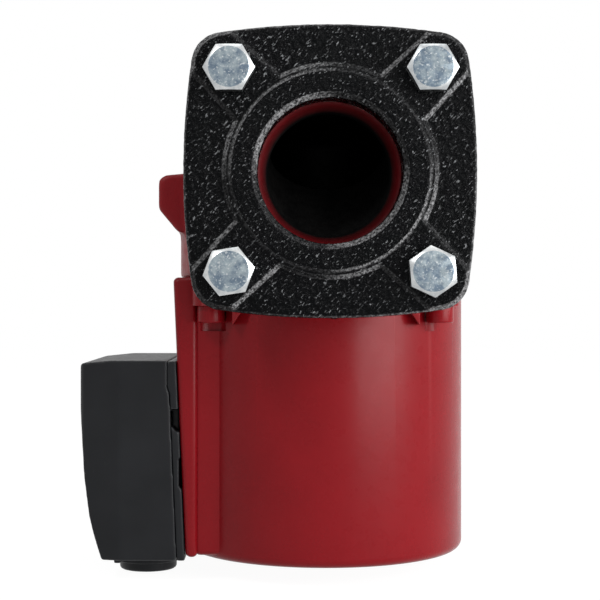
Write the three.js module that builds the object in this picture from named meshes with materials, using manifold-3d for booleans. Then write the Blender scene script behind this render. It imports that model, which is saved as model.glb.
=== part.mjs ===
// In-line wet-rotor circulator pump with square companion flanges, in millimetres, +Z up.
// The origin is where the pipe axis (Y) crosses the motor axis (Z). The motor hangs below the pipe,
// and its terminal box is on the -X side. The inlet port faces -Y and the outlet port faces +Y.
import * as THREE from "three";
import { ConvexGeometry } from "three/addons/geometries/ConvexGeometry.js";
import { mergeVertices } from "three/addons/utils/BufferGeometryUtils.js";
import Module from "manifold-3d";

const wasm = await Module();
wasm.setup();

// ---- Driving dimensions ----
const FIT = 0.3; // clearance between pieces that touch
const ROUND = 32; // sides of a large round
const SMALL_ROUND = 12; // sides of a small round
const MIDDLE_ROUND = 24; // sides of a middling round

const PORT_TO_PORT = 220; // over the pump housing's own flanges
const PORT_BORE_RADIUS = 27;
const PORT_MOUTH_DEPTH = 6; // cone that leads into the port bore
const PORT_NECK_WALL = 8;
const HOUSING_FLANGE_THICKNESS = 12;

const FLANGE_WIDTH = 124; // companion flange, between the middles of two sides
const FLANGE_SIDE_RADIUS = 320; // the sides bulge gently
const FLANGE_CORNER_RADIUS = 13.5;
const FLANGE_THICKNESS = 12;
const FLANGE_EDGE = 1.5; // broken front edge
const FLANGE_STRIP_HEIGHT = 2; // diagonal strips that carry the bolts
const FLANGE_STRIP_INNER_WIDTH = 28;
const FLANGE_STRIP_OUTER_WIDTH = 22;
const HUB_RADIUS = 43.5;
const HUB_HEIGHT = 3.5;
const PIPE_SOCKET_RADIUS = 30.7; // slides over a 60.3 mm pipe
const PIPE_SOCKET_FLARE = 1.5;
const GASKET_THICKNESS = 2;

const BOLT_CIRCLE_RADIUS = 60;
const BOLT_RADIUS = 6;
const BOLT_HOLE_CLEARANCE = 0.7;
const BOLT_HEAD_ACROSS_FLATS = 19;
const BOLT_HEAD_HEIGHT = 7.5;
const BOLT_TAIL = 3; // thread that stands out of the nut
const NUT_HEIGHT = 10.5;

const JOINT_Z = -43.5; // face between the pump housing and the motor
const VOLUTE_OUTSET = 1.5; // the volute is this much larger than the motor
const VOLUTE_TOP_Z = 3;
const VOLUTE_WALL = 5.5;
const CHAMBER_RADIUS = 58;
const CHAMBER_TOP_Z = -12;
const CHAMBER_SEAL_DEPTH = 2.5;
const EYE_FLOOR_Z = -4;
const EYE_TOP_Z = 34;
const DUCT_WALL = 8;
const LUG_OUTSET = 9.5; // throat lug on the -X side of the volute
const LUG_BOTTOM_Z = -21;
const LUG_SHOULDER_Z = -9.6;
const LUG_EDGE_Z = 4.6;
const LUG_TOP_Z = 7;
const LUG_FRONT_Y = -25;
const LUG_REAR_Y = 45;

const IMPELLER_RADIUS = 50;
const IMPELLER_BLADES = 6;
const IMPELLER_BLADE_THICKNESS = 2.5;
const IMPELLER_EYE_RADIUS = 21.6;
const IMPELLER_EYE_WALL = 3;
const IMPELLER_RUNNING_GAP = 0.6;
const SHROUD_THICKNESS = 3;
const NECK_RING_WALL = 3.8;

const MOTOR_RADIUS = 70;
const MOTOR_LENGTH = 134.5;
const MOTOR_EDGE = 4.5;
const MOTOR_WALL = 8;
const MOTOR_END_WALL = 10;
const MOTOR_FLANGE_THICKNESS = 13.5;
const SCREW_OUTSET = 6; // the screw circle lies this far outside the motor
const SCREW_RADIUS = 4;
const SCREW_HEAD_RADIUS = 6.5;
const SCREW_HEAD_HEIGHT = 8;
const SCREW_SOCKET_RADIUS = 3.4;
const EAR_RADIUS = 9;
const HOUSING_EAR_HEIGHT = 14;
const GUSSET_WIDTH = 6;
const GUSSET_HEIGHT = 9;
const GUSSET_X = 43.5;
const GUSSET_DEPTH = 13.5;
const EAR_BLEND = 0.32; // half angle over which an ear blends into the round body

const PAD_HALF_WIDTH = 49;
const PAD_END_GAP = 2.5; // between the pad and the motor's end
const PLATE_HALF_WIDTH = 50.5;
const PLATE_OUTSET = 1.9; // the plate's top stands this far outside the motor
const PLATE_THICKNESS = 11.5;
const PLATE_TAPER = 5.85; // the plate's face leans in by this much towards its bottom
const PLATE_END_GAP = 1.9;

const SHAFT_RADIUS = 6;
const SHAFT_TOP_Z = -10;
const SHAFT_END_GAP = 5;
const CAN_RADIUS = 34.5;
const CAN_WALL = 1;
const CAN_FLANGE_THICKNESS = 2.5;
const CAN_END_GAP = 16; // between the can and the motor's end
const CAN_NECK_RADIUS = 10;
const ROTOR_GAP = 0.8;
const ROTOR_INSET = 1; // the rotor core is this much shorter at each end
const CORE_JOINT_GAP = 32.5; // from the joint face down to the core
const CORE_END_GAP = 32; // from the core down to the motor's end
const WINDING_HEIGHT = 13;
const WINDING_GAP = 5; // between the windings and the motor's bore
const WINDING_CAN_GAP = 3;
const BEARING_RADIUS = 11;
const BEARING_LENGTH = 12;
const BEARING_PLATE_THICKNESS = 3;
const BEARING_HUB_WALL = 3.5;
const VENT_RADIUS = 5.7;
const VENT_HEAD_RADIUS = 10.5;
const VENT_HEAD_HEIGHT = 3.2;
const VENT_RECESS_DEPTH = 5;
const VENT_RECESS_GAP = 3;
const VENT_SEAL_THICKNESS = 1;

const BOX_HALF_WIDTH = 50;
const BOX_DROP = 39.5; // from the joint face down to the box's top
const BOX_END_GAP = 0.3;
const BOX_DEPTH = 41.95;
const BOX_WALL = 3;
const BOX_OUTER_DROP = 1.4; // the top falls towards the outer end
const BOX_EDGE = 1; // broken edge between the top and the outer side
const BOX_OUTER_SLOPE = 15.6; // length of the falling part of the top
const BOX_CORNER_RADIUS = 9;
const COVER_FOOT_INSET = 10.8; // the outer side curves in by this much at the bottom
// Curve of the outer side: how far in, and at which share of its height.
const COVER_CONTOUR = [
  [0, 0.78],
  [0.9, 0.62],
  [2.1, 0.42],
  [4.6, 0.22],
  [7, 0.12],
];
const BASE_TOP_THICKNESS = 2.85;
const BASE_STEP_THICKNESS = 1.65;
const BASE_BOTTOM_THICKNESS = 4.15;
const PARTING_STEP_DROP = 12; // from the box's top down to the step in the parting line
const PARTING_STEP_HEIGHT = 4;
const UPPER_NOTCH = { depth: 4, drop: 23, height: 10.5 };
const LOWER_NOTCH = { depth: 1, drop: 46, height: 17 };
const NOTCH_LENGTH = 7;
const COVER_SCREW_INSET = 13; // from the sides of the box
const COVER_SCREW_DROP = 21;
const COVER_SCREW_RADIUS = 2;
const COVER_SCREW_HEAD_RADIUS = 3.5;
const BOSS_LENGTH = 9; // screw boss in the cover, from the box's outer side
const PILLAR_GAP = 3.8; // between a boss and the pillar behind it
const BASE_SCREW_Y = 35;
const BASE_SCREW_DROP = 39;
const LEAD_HOLE_RADIUS = 7;
const LEAD_HOLE_DROP = 17;
const GROMMET_GAP = 0.4; // from the motor's bore
const ENTRY_INSET = 11.75; // from the parting line
const ENTRY_Y = -18;
const ENTRY_THREAD_RADIUS = 10.5;
const ENTRY_COLLAR_RADIUS = 16.5;
const ENTRY_CAP_RADIUS = 14;
const ENTRY_COLLAR_HEIGHT = 4.2;
const ENTRY_CAP_HEIGHT = 4.3;
const ENTRY_THREAD_LENGTH = 9;
const TAB_OFFSET = 13.3; // small tab under the cover, beside the entry
const TAB_WIDTH = 3.6;
const TAB_HEIGHT = 4;
const LOCKNUT_WALL = 3.4;
const BLOCK_GAP = 5; // above the capacitor
const BLOCK_HEIGHT = 18;
const BLOCK_DEPTH = 15;
const BLOCK_HALF_LENGTH = 26;
const BLOCK_WAY = 10; // from one terminal to the next
const CAPACITOR_RADIUS = 12;
const CAPACITOR_LENGTH = 34;
const CAPACITOR_Y = 22;

// ---- Derived places ----
const PORT_FACE = PORT_TO_PORT / 2;
const PORT_BACK = PORT_FACE - HOUSING_FLANGE_THICKNESS;
const FLANGE_SEAT = PORT_FACE + GASKET_THICKNESS;
const FLANGE_FRONT = FLANGE_SEAT + FLANGE_THICKNESS;
const STRIP_FRONT = FLANGE_FRONT + FLANGE_STRIP_HEIGHT;
const HUB_FRONT = FLANGE_FRONT + HUB_HEIGHT;
const BOLT_OFFSET = BOLT_CIRCLE_RADIUS * Math.SQRT1_2;
const BOLT_HOLE_RADIUS = BOLT_RADIUS + BOLT_HOLE_CLEARANCE;
const SCREW_OFFSET = (MOTOR_RADIUS + SCREW_OUTSET) * Math.SQRT1_2;
const VOLUTE_RADIUS = MOTOR_RADIUS + VOLUTE_OUTSET;
const LUG_REACH = VOLUTE_RADIUS + LUG_OUTSET;
const MOTOR_END_Z = JOINT_Z - MOTOR_LENGTH;
const MOTOR_FLANGE_Z = JOINT_Z - MOTOR_FLANGE_THICKNESS;
const MOTOR_BORE_RADIUS = MOTOR_RADIUS - MOTOR_WALL;
const MOTOR_FLOOR_Z = MOTOR_END_Z + MOTOR_END_WALL;
const VENT_SEAT_Z = MOTOR_END_Z + VENT_RECESS_DEPTH;
const CAN_BORE_RADIUS = CAN_RADIUS - CAN_WALL;
const NECK_RING_BORE_RADIUS = IMPELLER_EYE_RADIUS + IMPELLER_RUNNING_GAP;
const NECK_RING_RADIUS = NECK_RING_BORE_RADIUS + NECK_RING_WALL;
const CAN_BOTTOM_Z = MOTOR_END_Z + CAN_END_GAP;
const CORE_TOP_Z = JOINT_Z - CORE_JOINT_GAP;
const CORE_BOTTOM_Z = MOTOR_END_Z + CORE_END_GAP;
const SHAFT_BOTTOM_Z = CAN_BOTTOM_Z + SHAFT_END_GAP;
const PLATE_TOP_X = -MOTOR_RADIUS - PLATE_OUTSET;
const PLATE_BOTTOM_X = PLATE_TOP_X + PLATE_TAPER;
const PLATE_BOTTOM_Z = MOTOR_END_Z + PLATE_END_GAP;
const PAD_X = PLATE_TOP_X + PLATE_THICKNESS;
const PAD_BOTTOM_Z = MOTOR_END_Z + PAD_END_GAP;
const BOX_TOP_Z = JOINT_Z - BOX_DROP;
const BOX_BOTTOM_Z = MOTOR_END_Z + BOX_END_GAP;
const PARTING_TOP_X = PLATE_TOP_X - BASE_TOP_THICKNESS;
const PARTING_STEP_X = PLATE_TOP_X - BASE_STEP_THICKNESS;
const PARTING_BOTTOM_X = PLATE_BOTTOM_X - BASE_BOTTOM_THICKNESS;
const PARTING_STEP_TOP_Z = BOX_TOP_Z - PARTING_STEP_DROP;
const PARTING_STEP_BOTTOM_Z = PARTING_STEP_TOP_Z - PARTING_STEP_HEIGHT;
const BOX_OUTER_X = PARTING_TOP_X - BOX_DEPTH;
const PILLAR_X = BOX_OUTER_X + BOSS_LENGTH + PILLAR_GAP;
const COVER_SCREW_Y = BOX_HALF_WIDTH - COVER_SCREW_INSET;
const COVER_SCREW_Z = BOX_TOP_Z - COVER_SCREW_DROP;
const BASE_SCREW_Z = BOX_TOP_Z - BASE_SCREW_DROP;
const LEAD_HOLE_Z = BOX_TOP_Z - LEAD_HOLE_DROP;
const ENTRY_X = PARTING_TOP_X - ENTRY_INSET;
const CAPACITOR_BOTTOM_Z = BOX_BOTTOM_Z + BOX_WALL + 2;
const BORE_FIT_RADIUS = SHAFT_RADIUS + FIT;
const BEARING_SEAT_RADIUS = BEARING_RADIUS + FIT;
const BEARING_HUB_RADIUS = BEARING_SEAT_RADIUS + BEARING_HUB_WALL;
const BEARING_PLATE_Z = JOINT_Z + FIT;
const UPPER_BEARING_TOP_Z = BEARING_PLATE_Z + BEARING_PLATE_THICKNESS;
const LOWER_BEARING_Z = CAN_BOTTOM_Z + CAN_WALL * 2 + FIT;
const ROTOR_TOP_Z = CORE_TOP_Z - ROTOR_INSET;
const ROTOR_BOTTOM_Z = CORE_BOTTOM_Z + ROTOR_INSET;
const SHROUD_Z = UPPER_BEARING_TOP_Z + 2.3;
const CORNERS = [
  [-1, 1],
  [1, 1],
  [-1, -1],
  [1, -1],
];
const ENDS = [
  ["inlet", -1],
  ["outlet", 1],
];

// ---- Solids from three.js geometry ----
function solid(geometry) {
  const bare = new THREE.BufferGeometry();
  bare.setAttribute("position", geometry.getAttribute("position"));
  if (geometry.index) bare.setIndex(geometry.index);
  const merged = mergeVertices(bare, 1e-4);
  const index = merged.index.array;
  const triangles = [];
  for (let i = 0; i < index.length; i += 3) {
    const [a, b, c] = [index[i], index[i + 1], index[i + 2]];
    if (a !== b && b !== c && c !== a) triangles.push(a, b, c);
  }
  const mesh = new wasm.Mesh({
    numProp: 3,
    vertProperties: merged.attributes.position.array,
    triVerts: new Uint32Array(triangles),
  });
  return new wasm.Manifold(mesh);
}

function joined(...pieces) {
  return pieces.reduce((whole, piece) => whole.add(piece));
}

function cut(body, ...tools) {
  return tools.reduce((rest, tool) => rest.subtract(tool), body);
}

function block(x0, x1, y0, y1, z0, z1) {
  const box = new THREE.BoxGeometry(x1 - x0, y1 - y0, z1 - z0);
  return solid(box.translate((x0 + x1) / 2, (y0 + y1) / 2, (z0 + z1) / 2));
}

function slabAlongX(shape, x0, x1, options = {}) {
  const slab = extrusion(shape, x1 - x0, options);
  const turn = new THREE.Matrix4().makeBasis(
    new THREE.Vector3(0, 1, 0),
    new THREE.Vector3(0, 0, 1),
    new THREE.Vector3(1, 0, 0),
  );
  return solid(slab.applyMatrix4(turn).translate(x0, 0, 0));
}

function slabAlongY(shape, y0, y1, options = {}) {
  const slab = extrusion(shape, y1 - y0, options);
  return solid(slab.rotateX(Math.PI / 2).translate(0, y1, 0));
}

function slabAlongZ(shape, z0, z1, options = {}) {
  return solid(extrusion(shape, z1 - z0, options).translate(0, 0, z0));
}

function extrusion(shape, depth, options) {
  const settings = { depth, bevelEnabled: false, curveSegments: 3, ...options };
  return new THREE.ExtrudeGeometry(shape, settings);
}

function barX(radius, x0, x1, y, z, sides = SMALL_ROUND) {
  const bar = new THREE.CylinderGeometry(radius, radius, x1 - x0, sides);
  return solid(bar.rotateZ(Math.PI / 2).translate((x0 + x1) / 2, y, z));
}

function coneY(radius0, radius1, y0, y1, x = 0, z = 0, sides = ROUND) {
  const cone = new THREE.CylinderGeometry(radius1, radius0, y1 - y0, sides);
  return solid(cone.translate(x, (y0 + y1) / 2, z));
}

function barY(radius, y0, y1, x = 0, z = 0, sides = ROUND) {
  return coneY(radius, radius, y0, y1, x, z, sides);
}

function column(radius, z0, z1, x = 0, y = 0, sides = ROUND) {
  const bar = new THREE.CylinderGeometry(radius, radius, z1 - z0, sides);
  return solid(bar.rotateX(Math.PI / 2).translate(x, y, (z0 + z1) / 2));
}

// A profile of [radius, z] points, turned about the Z axis.
function turned(profile, x = 0, y = 0, sides = ROUND) {
  const points = profile.map(([radius, z]) => new THREE.Vector2(radius, z));
  const lathe = new THREE.LatheGeometry(points, sides);
  return solid(lathe.rotateX(Math.PI / 2).translate(x, y, 0));
}

function ring(inner, outer, z0, z1, x = 0, y = 0, sides = ROUND) {
  const profile = [
    [inner, z0],
    [outer, z0],
    [outer, z1],
    [inner, z1],
    [inner, z0],
  ];
  return turned(profile, x, y, sides);
}

function polygon(points) {
  return new THREE.Shape(points.map(([x, y]) => new THREE.Vector2(x, y)));
}

function hull(points) {
  return solid(new ConvexGeometry(points));
}

function ellipseAcrossY(y, z, halfWidth, halfHeight) {
  const points = [];
  for (let i = 0; i < ROUND; i += 2) {
    const turn = (2 * Math.PI * i) / ROUND;
    points.push(new THREE.Vector3(halfWidth * Math.cos(turn), y, z + halfHeight * Math.sin(turn)));
  }
  return points;
}

function circleAcrossZ(radius, z, x = 0, y = 0) {
  const points = [];
  for (let i = 0; i < ROUND; i += 2) {
    const turn = (2 * Math.PI * i) / ROUND;
    points.push(new THREE.Vector3(x + radius * Math.cos(turn), y + radius * Math.sin(turn), z));
  }
  return points;
}

function boxCorners(x0, x1, y0, y1, z0, z1) {
  const points = [];
  for (const x of [x0, x1]) {
    for (const y of [y0, y1]) {
      for (const z of [z0, z1]) points.push(new THREE.Vector3(x, y, z));
    }
  }
  return points;
}

// ---- Shared outlines ----
// A square with bulged sides and round corners; the arcs of a side and a corner are tangent.
function bulgedSquare(halfWidth, cornerRadius) {
  const sideCentre = halfWidth - FLANGE_SIDE_RADIUS;
  const reach = FLANGE_SIDE_RADIUS - cornerRadius;
  const corner = (sideCentre + Math.sqrt(2 * reach ** 2 - sideCentre ** 2)) / 2;
  const spread = Math.asin(corner / reach);
  const shape = new THREE.Shape();
  for (let side = 0; side < 4; side += 1) {
    const turn = (side * Math.PI) / 2;
    const [c, s] = [Math.cos(turn), Math.sin(turn)];
    const [bulgeX, bulgeY] = [sideCentre * c, sideCentre * s];
    const [cornerX, cornerY] = [corner * c - corner * s, corner * s + corner * c];
    const quarter = Math.PI / 2;
    shape.absarc(bulgeX, bulgeY, FLANGE_SIDE_RADIUS, turn - spread, turn + spread);
    shape.absarc(cornerX, cornerY, cornerRadius, turn + spread, turn + quarter - spread);
  }
  return shape;
}

function hexagon(acrossFlats) {
  const radius = acrossFlats / Math.sqrt(3);
  const points = [];
  for (let i = 0; i < 6; i += 1) {
    const turn = (i * Math.PI) / 3;
    points.push([radius * Math.cos(turn), radius * Math.sin(turn)]);
  }
  return polygon(points);
}

function roundedRectangle(x0, x1, y0, y1, radius) {
  const shape = new THREE.Shape();
  shape.absarc(x1 - radius, y0 + radius, radius, -Math.PI / 2, 0);
  shape.absarc(x1 - radius, y1 - radius, radius, 0, Math.PI / 2);
  shape.absarc(x0 + radius, y1 - radius, radius, Math.PI / 2, Math.PI);
  shape.absarc(x0 + radius, y0 + radius, radius, Math.PI, (3 * Math.PI) / 2);
  return shape;
}

function boltHoles(y0, y1) {
  return CORNERS.map(([i, j]) =>
    barY(BOLT_HOLE_RADIUS, y0, y1, i * BOLT_OFFSET, j * BOLT_OFFSET, SMALL_ROUND),
  );
}

function screwPlaces() {
  return CORNERS.map(([i, j]) => [i * SCREW_OFFSET, j * SCREW_OFFSET]);
}

function turnedAbout(body) {
  return body.rotate([0, 0, 180]);
}

// ---- Pump housing ----
function inletDuctCore() {
  const bore = barY(PORT_BORE_RADIUS, -PORT_FACE - 1, -PORT_BACK + 1);
  const height = (EYE_TOP_Z - EYE_FLOOR_Z) / 2;
  const middle = (EYE_TOP_Z + EYE_FLOOR_Z) / 2;
  const rampY = -CHAMBER_RADIUS - 10;
  const ramp = ellipseAcrossY(rampY, middle, PORT_BORE_RADIUS, height);
  const entry = hull([...ellipseAcrossY(-PORT_BACK, 0, PORT_BORE_RADIUS, PORT_BORE_RADIUS), ...ramp]);
  const eye = [
    ...circleAcrossZ(PORT_BORE_RADIUS, EYE_FLOOR_Z),
    ...circleAcrossZ(PORT_BORE_RADIUS, EYE_TOP_Z - 8),
    ...circleAcrossZ(PORT_BORE_RADIUS - 8, EYE_TOP_Z),
  ];
  return joined(bore, entry, hull([...ramp, ...eye]));
}

function inletDuctShell() {
  const neck = PORT_BORE_RADIUS + PORT_NECK_WALL;
  const dome = PORT_BORE_RADIUS + DUCT_WALL;
  return hull([
    ...ellipseAcrossY(-PORT_BACK, 0, neck, neck),
    ...circleAcrossZ(dome, EYE_FLOOR_Z),
    ...circleAcrossZ(dome, EYE_TOP_Z),
    ...circleAcrossZ(dome - DUCT_WALL, EYE_TOP_Z + DUCT_WALL),
  ]);
}

// Start of the outlet duct in the volute, on the -X side.
const THROAT = { inner: -34, y0: 8, y1: 16, z0: JOINT_Z + 7, z1: CHAMBER_TOP_Z - 3 };

function outletDuctCore() {
  const outer = -(VOLUTE_RADIUS - VOLUTE_WALL);
  const bore = barY(PORT_BORE_RADIUS, PORT_BACK - 6, PORT_FACE + 1);
  const round = ellipseAcrossY(PORT_BACK - 5, 0, PORT_BORE_RADIUS, PORT_BORE_RADIUS);
  const throat = boxCorners(outer, THROAT.inner, THROAT.y0, THROAT.y1, THROAT.z0, THROAT.z1);
  return joined(bore, hull([...round, ...throat]));
}

function outletDuctShell() {
  const neck = PORT_BORE_RADIUS + PORT_NECK_WALL;
  const outer = -VOLUTE_RADIUS - 3;
  const [inner, top] = [THROAT.inner + DUCT_WALL, THROAT.z1 + DUCT_WALL];
  const throat = boxCorners(outer, inner, 0, THROAT.y1, JOINT_Z + 2, top);
  return hull([...ellipseAcrossY(PORT_BACK, 0, neck, neck), ...throat]);
}

function throatLug() {
  const outline = polygon([
    [-VOLUTE_RADIUS + 12, LUG_BOTTOM_Z],
    [-VOLUTE_RADIUS, LUG_BOTTOM_Z],
    [-LUG_REACH, LUG_SHOULDER_Z],
    [-LUG_REACH, LUG_EDGE_Z],
    [-LUG_REACH + 3, LUG_TOP_Z],
    [-VOLUTE_RADIUS + 12, LUG_TOP_Z + 1.5],
  ]);
  return slabAlongY(outline, LUG_FRONT_Y, LUG_REAR_Y);
}

function ears(z0, z1) {
  const pieces = screwPlaces().map(([x, y]) => {
    const turn = Math.atan2(y, x);
    const points = [...circleAcrossZ(EAR_RADIUS, z0, x, y), ...circleAcrossZ(EAR_RADIUS, z1, x, y)];
    for (const side of [-EAR_BLEND, EAR_BLEND]) {
      for (const radius of [MOTOR_RADIUS - 0.2, MOTOR_RADIUS - 6]) {
        const [px, py] = [radius * Math.cos(turn + side), radius * Math.sin(turn + side)];
        points.push(new THREE.Vector3(px, py, z0), new THREE.Vector3(px, py, z1));
      }
    }
    return hull(points);
  });
  return joined(...pieces);
}

function pumpHousing() {
  const outline = bulgedSquare(FLANGE_WIDTH / 2 - 1, FLANGE_CORNER_RADIUS);
  const volute = turned([
    [0, JOINT_Z],
    [VOLUTE_RADIUS, JOINT_Z],
    [VOLUTE_RADIUS, VOLUTE_TOP_Z - 8],
    [VOLUTE_RADIUS - 3, VOLUTE_TOP_Z - 2.5],
    [VOLUTE_RADIUS - 9, VOLUTE_TOP_Z],
    [0, VOLUTE_TOP_Z],
  ]);
  const shell = joined(
    volute,
    slabAlongY(outline, -PORT_FACE, -PORT_BACK),
    slabAlongY(outline, PORT_BACK, PORT_FACE),
    inletDuctShell(),
    outletDuctShell(),
    throatLug(),
    ears(JOINT_Z, JOINT_Z + HOUSING_EAR_HEIGHT),
  );
  const swell = ring(CHAMBER_RADIUS - 4, VOLUTE_RADIUS - VOLUTE_WALL, THROAT.z0, THROAT.z1);
  const mouth = PIPE_SOCKET_RADIUS - FIT;
  const bore = PORT_BORE_RADIUS + FIT;
  const screwHoles = screwPlaces().map(([x, y]) =>
    column(SCREW_RADIUS + FIT, JOINT_Z - 1, JOINT_Z + HOUSING_EAR_HEIGHT - 2, x, y, SMALL_ROUND),
  );
  return cut(
    shell,
    column(CHAMBER_RADIUS, JOINT_Z - 1, CHAMBER_TOP_Z),
    column(MOTOR_BORE_RADIUS - 0.5, JOINT_Z - 1, JOINT_Z + CHAMBER_SEAL_DEPTH),
    swell,
    column(NECK_RING_RADIUS + FIT, CHAMBER_TOP_Z - 1, EYE_FLOOR_Z + 1),
    inletDuctCore(),
    outletDuctCore(),
    coneY(mouth, bore, -PORT_FACE - 0.01, -PORT_FACE + PORT_MOUTH_DEPTH),
    coneY(bore, mouth, PORT_FACE - PORT_MOUTH_DEPTH, PORT_FACE + 0.01),
    ...boltHoles(-PORT_FACE - 1, -PORT_BACK + 1),
    ...boltHoles(PORT_BACK - 1, PORT_FACE + 1),
    ...screwHoles,
  );
}

function neckRing() {
  return ring(NECK_RING_BORE_RADIUS, NECK_RING_RADIUS, CHAMBER_TOP_Z, EYE_FLOOR_Z - FIT);
}

// ---- Companion flanges, gaskets, bolts and nuts, all made for the inlet end ----
function flangeStrips() {
  const far = BOLT_OFFSET + 15;
  const near = 20;
  const [wide, narrow] = [FLANGE_STRIP_INNER_WIDTH / 2, FLANGE_STRIP_OUTER_WIDTH / 2];
  const strips = CORNERS.map(([i, j]) => {
    const along = (distance, side) => [
      (i * distance - j * side) * Math.SQRT1_2,
      (j * distance + i * side) * Math.SQRT1_2,
    ];
    const reach = far * Math.SQRT2;
    const points = [along(near, -wide), along(reach, -narrow), along(reach, narrow), along(near, wide)];
    if (i * j < 0) points.reverse();
    return slabAlongY(polygon(points), -STRIP_FRONT, -FLANGE_FRONT + 1);
  });
  return joined(...strips);
}

function companionFlange() {
  const half = FLANGE_WIDTH / 2;
  const outline = bulgedSquare(half, FLANGE_CORNER_RADIUS);
  const bevel = {
    bevelEnabled: true,
    bevelThickness: FLANGE_EDGE,
    bevelSize: FLANGE_EDGE,
    bevelOffset: -FLANGE_EDGE,
    bevelSegments: 1,
  };
  const plate = slabAlongY(outline, -FLANGE_FRONT, -FLANGE_SEAT - 2 * FLANGE_EDGE, bevel);
  const seated = plate.translate([0, FLANGE_EDGE, 0]);
  const border = bulgedSquare(half - FLANGE_EDGE, FLANGE_CORNER_RADIUS - 1);
  const inside = slabAlongY(border, -STRIP_FRONT, -FLANGE_SEAT);
  const body = joined(
    seated,
    flangeStrips().intersect(inside),
    coneY(HUB_RADIUS, HUB_RADIUS + 1.5, -HUB_FRONT, -FLANGE_FRONT + 1),
  );
  return cut(
    body,
    barY(PIPE_SOCKET_RADIUS, -HUB_FRONT - 1, -FLANGE_SEAT + 1),
    coneY(PIPE_SOCKET_RADIUS + PIPE_SOCKET_FLARE, PIPE_SOCKET_RADIUS, -HUB_FRONT - 0.01, -HUB_FRONT + 4),
    ...boltHoles(-HUB_FRONT - 1, -FLANGE_SEAT + 1),
  );
}

function flangeGasket() {
  const disc = barY(HUB_RADIUS + 3, -FLANGE_SEAT, -PORT_FACE);
  return cut(disc, barY(PIPE_SOCKET_RADIUS, -FLANGE_SEAT - 1, -PORT_FACE + 1));
}

function flangeBolt() {
  const headTop = -STRIP_FRONT - BOLT_HEAD_HEIGHT;
  const head = slabAlongY(hexagon(BOLT_HEAD_ACROSS_FLATS), headTop, -STRIP_FRONT);
  const across = BOLT_HEAD_ACROSS_FLATS;
  const rounding = coneY(across * 0.5, across * 0.75, headTop, headTop + 3, 0, 0, SMALL_ROUND);
  const envelope = joined(rounding, barY(across, headTop + 3, -STRIP_FRONT, 0, 0, SMALL_ROUND));
  const tail = -PORT_BACK + NUT_HEIGHT + BOLT_TAIL;
  return joined(head.intersect(envelope), barY(BOLT_RADIUS, -STRIP_FRONT - 1, tail, 0, 0, SMALL_ROUND));
}

function flangeNut() {
  const body = slabAlongY(hexagon(BOLT_HEAD_ACROSS_FLATS), -PORT_BACK, -PORT_BACK + NUT_HEIGHT);
  return cut(body, barY(BOLT_RADIUS + FIT, -PORT_BACK - 1, -PORT_BACK + NUT_HEIGHT + 1, 0, 0, SMALL_ROUND));
}

// ---- Motor ----
function plateFaceX(z) {
  const share = (JOINT_Z - z) / (JOINT_Z - PLATE_BOTTOM_Z);
  return PLATE_TOP_X + share * (PLATE_BOTTOM_X - PLATE_TOP_X);
}

function terminalPlate() {
  const outline = polygon([
    [PLATE_TOP_X, JOINT_Z],
    [PLATE_BOTTOM_X, PLATE_BOTTOM_Z],
    [PAD_X + 3, PLATE_BOTTOM_Z],
    [PAD_X + 3, JOINT_Z],
  ]);
  return slabAlongY(outline, -PLATE_HALF_WIDTH, PLATE_HALF_WIDTH);
}

function beyondPlate() {
  const outline = polygon([
    [PLATE_TOP_X, JOINT_Z],
    [PLATE_TOP_X - 20, JOINT_Z],
    [PLATE_TOP_X - 20, MOTOR_END_Z - 1],
    [plateFaceX(MOTOR_END_Z - 1), MOTOR_END_Z - 1],
  ]);
  return slabAlongY(outline, -MOTOR_RADIUS, MOTOR_RADIUS);
}

function gussets() {
  const pieces = [-1, 1].map((side) => {
    const points = [
      [side * GUSSET_X, MOTOR_FLANGE_Z + 1],
      [side * GUSSET_X, MOTOR_FLANGE_Z - GUSSET_HEIGHT],
      [side * (GUSSET_X - GUSSET_WIDTH), MOTOR_FLANGE_Z - 1],
      [side * (GUSSET_X - GUSSET_WIDTH), MOTOR_FLANGE_Z + 1],
    ];
    if (side < 0) points.reverse();
    return slabAlongY(polygon(points), -MOTOR_RADIUS + 6.5, -MOTOR_RADIUS + 6.5 + GUSSET_DEPTH);
  });
  const front = joined(...pieces);
  return joined(front, turnedAbout(front));
}

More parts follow.
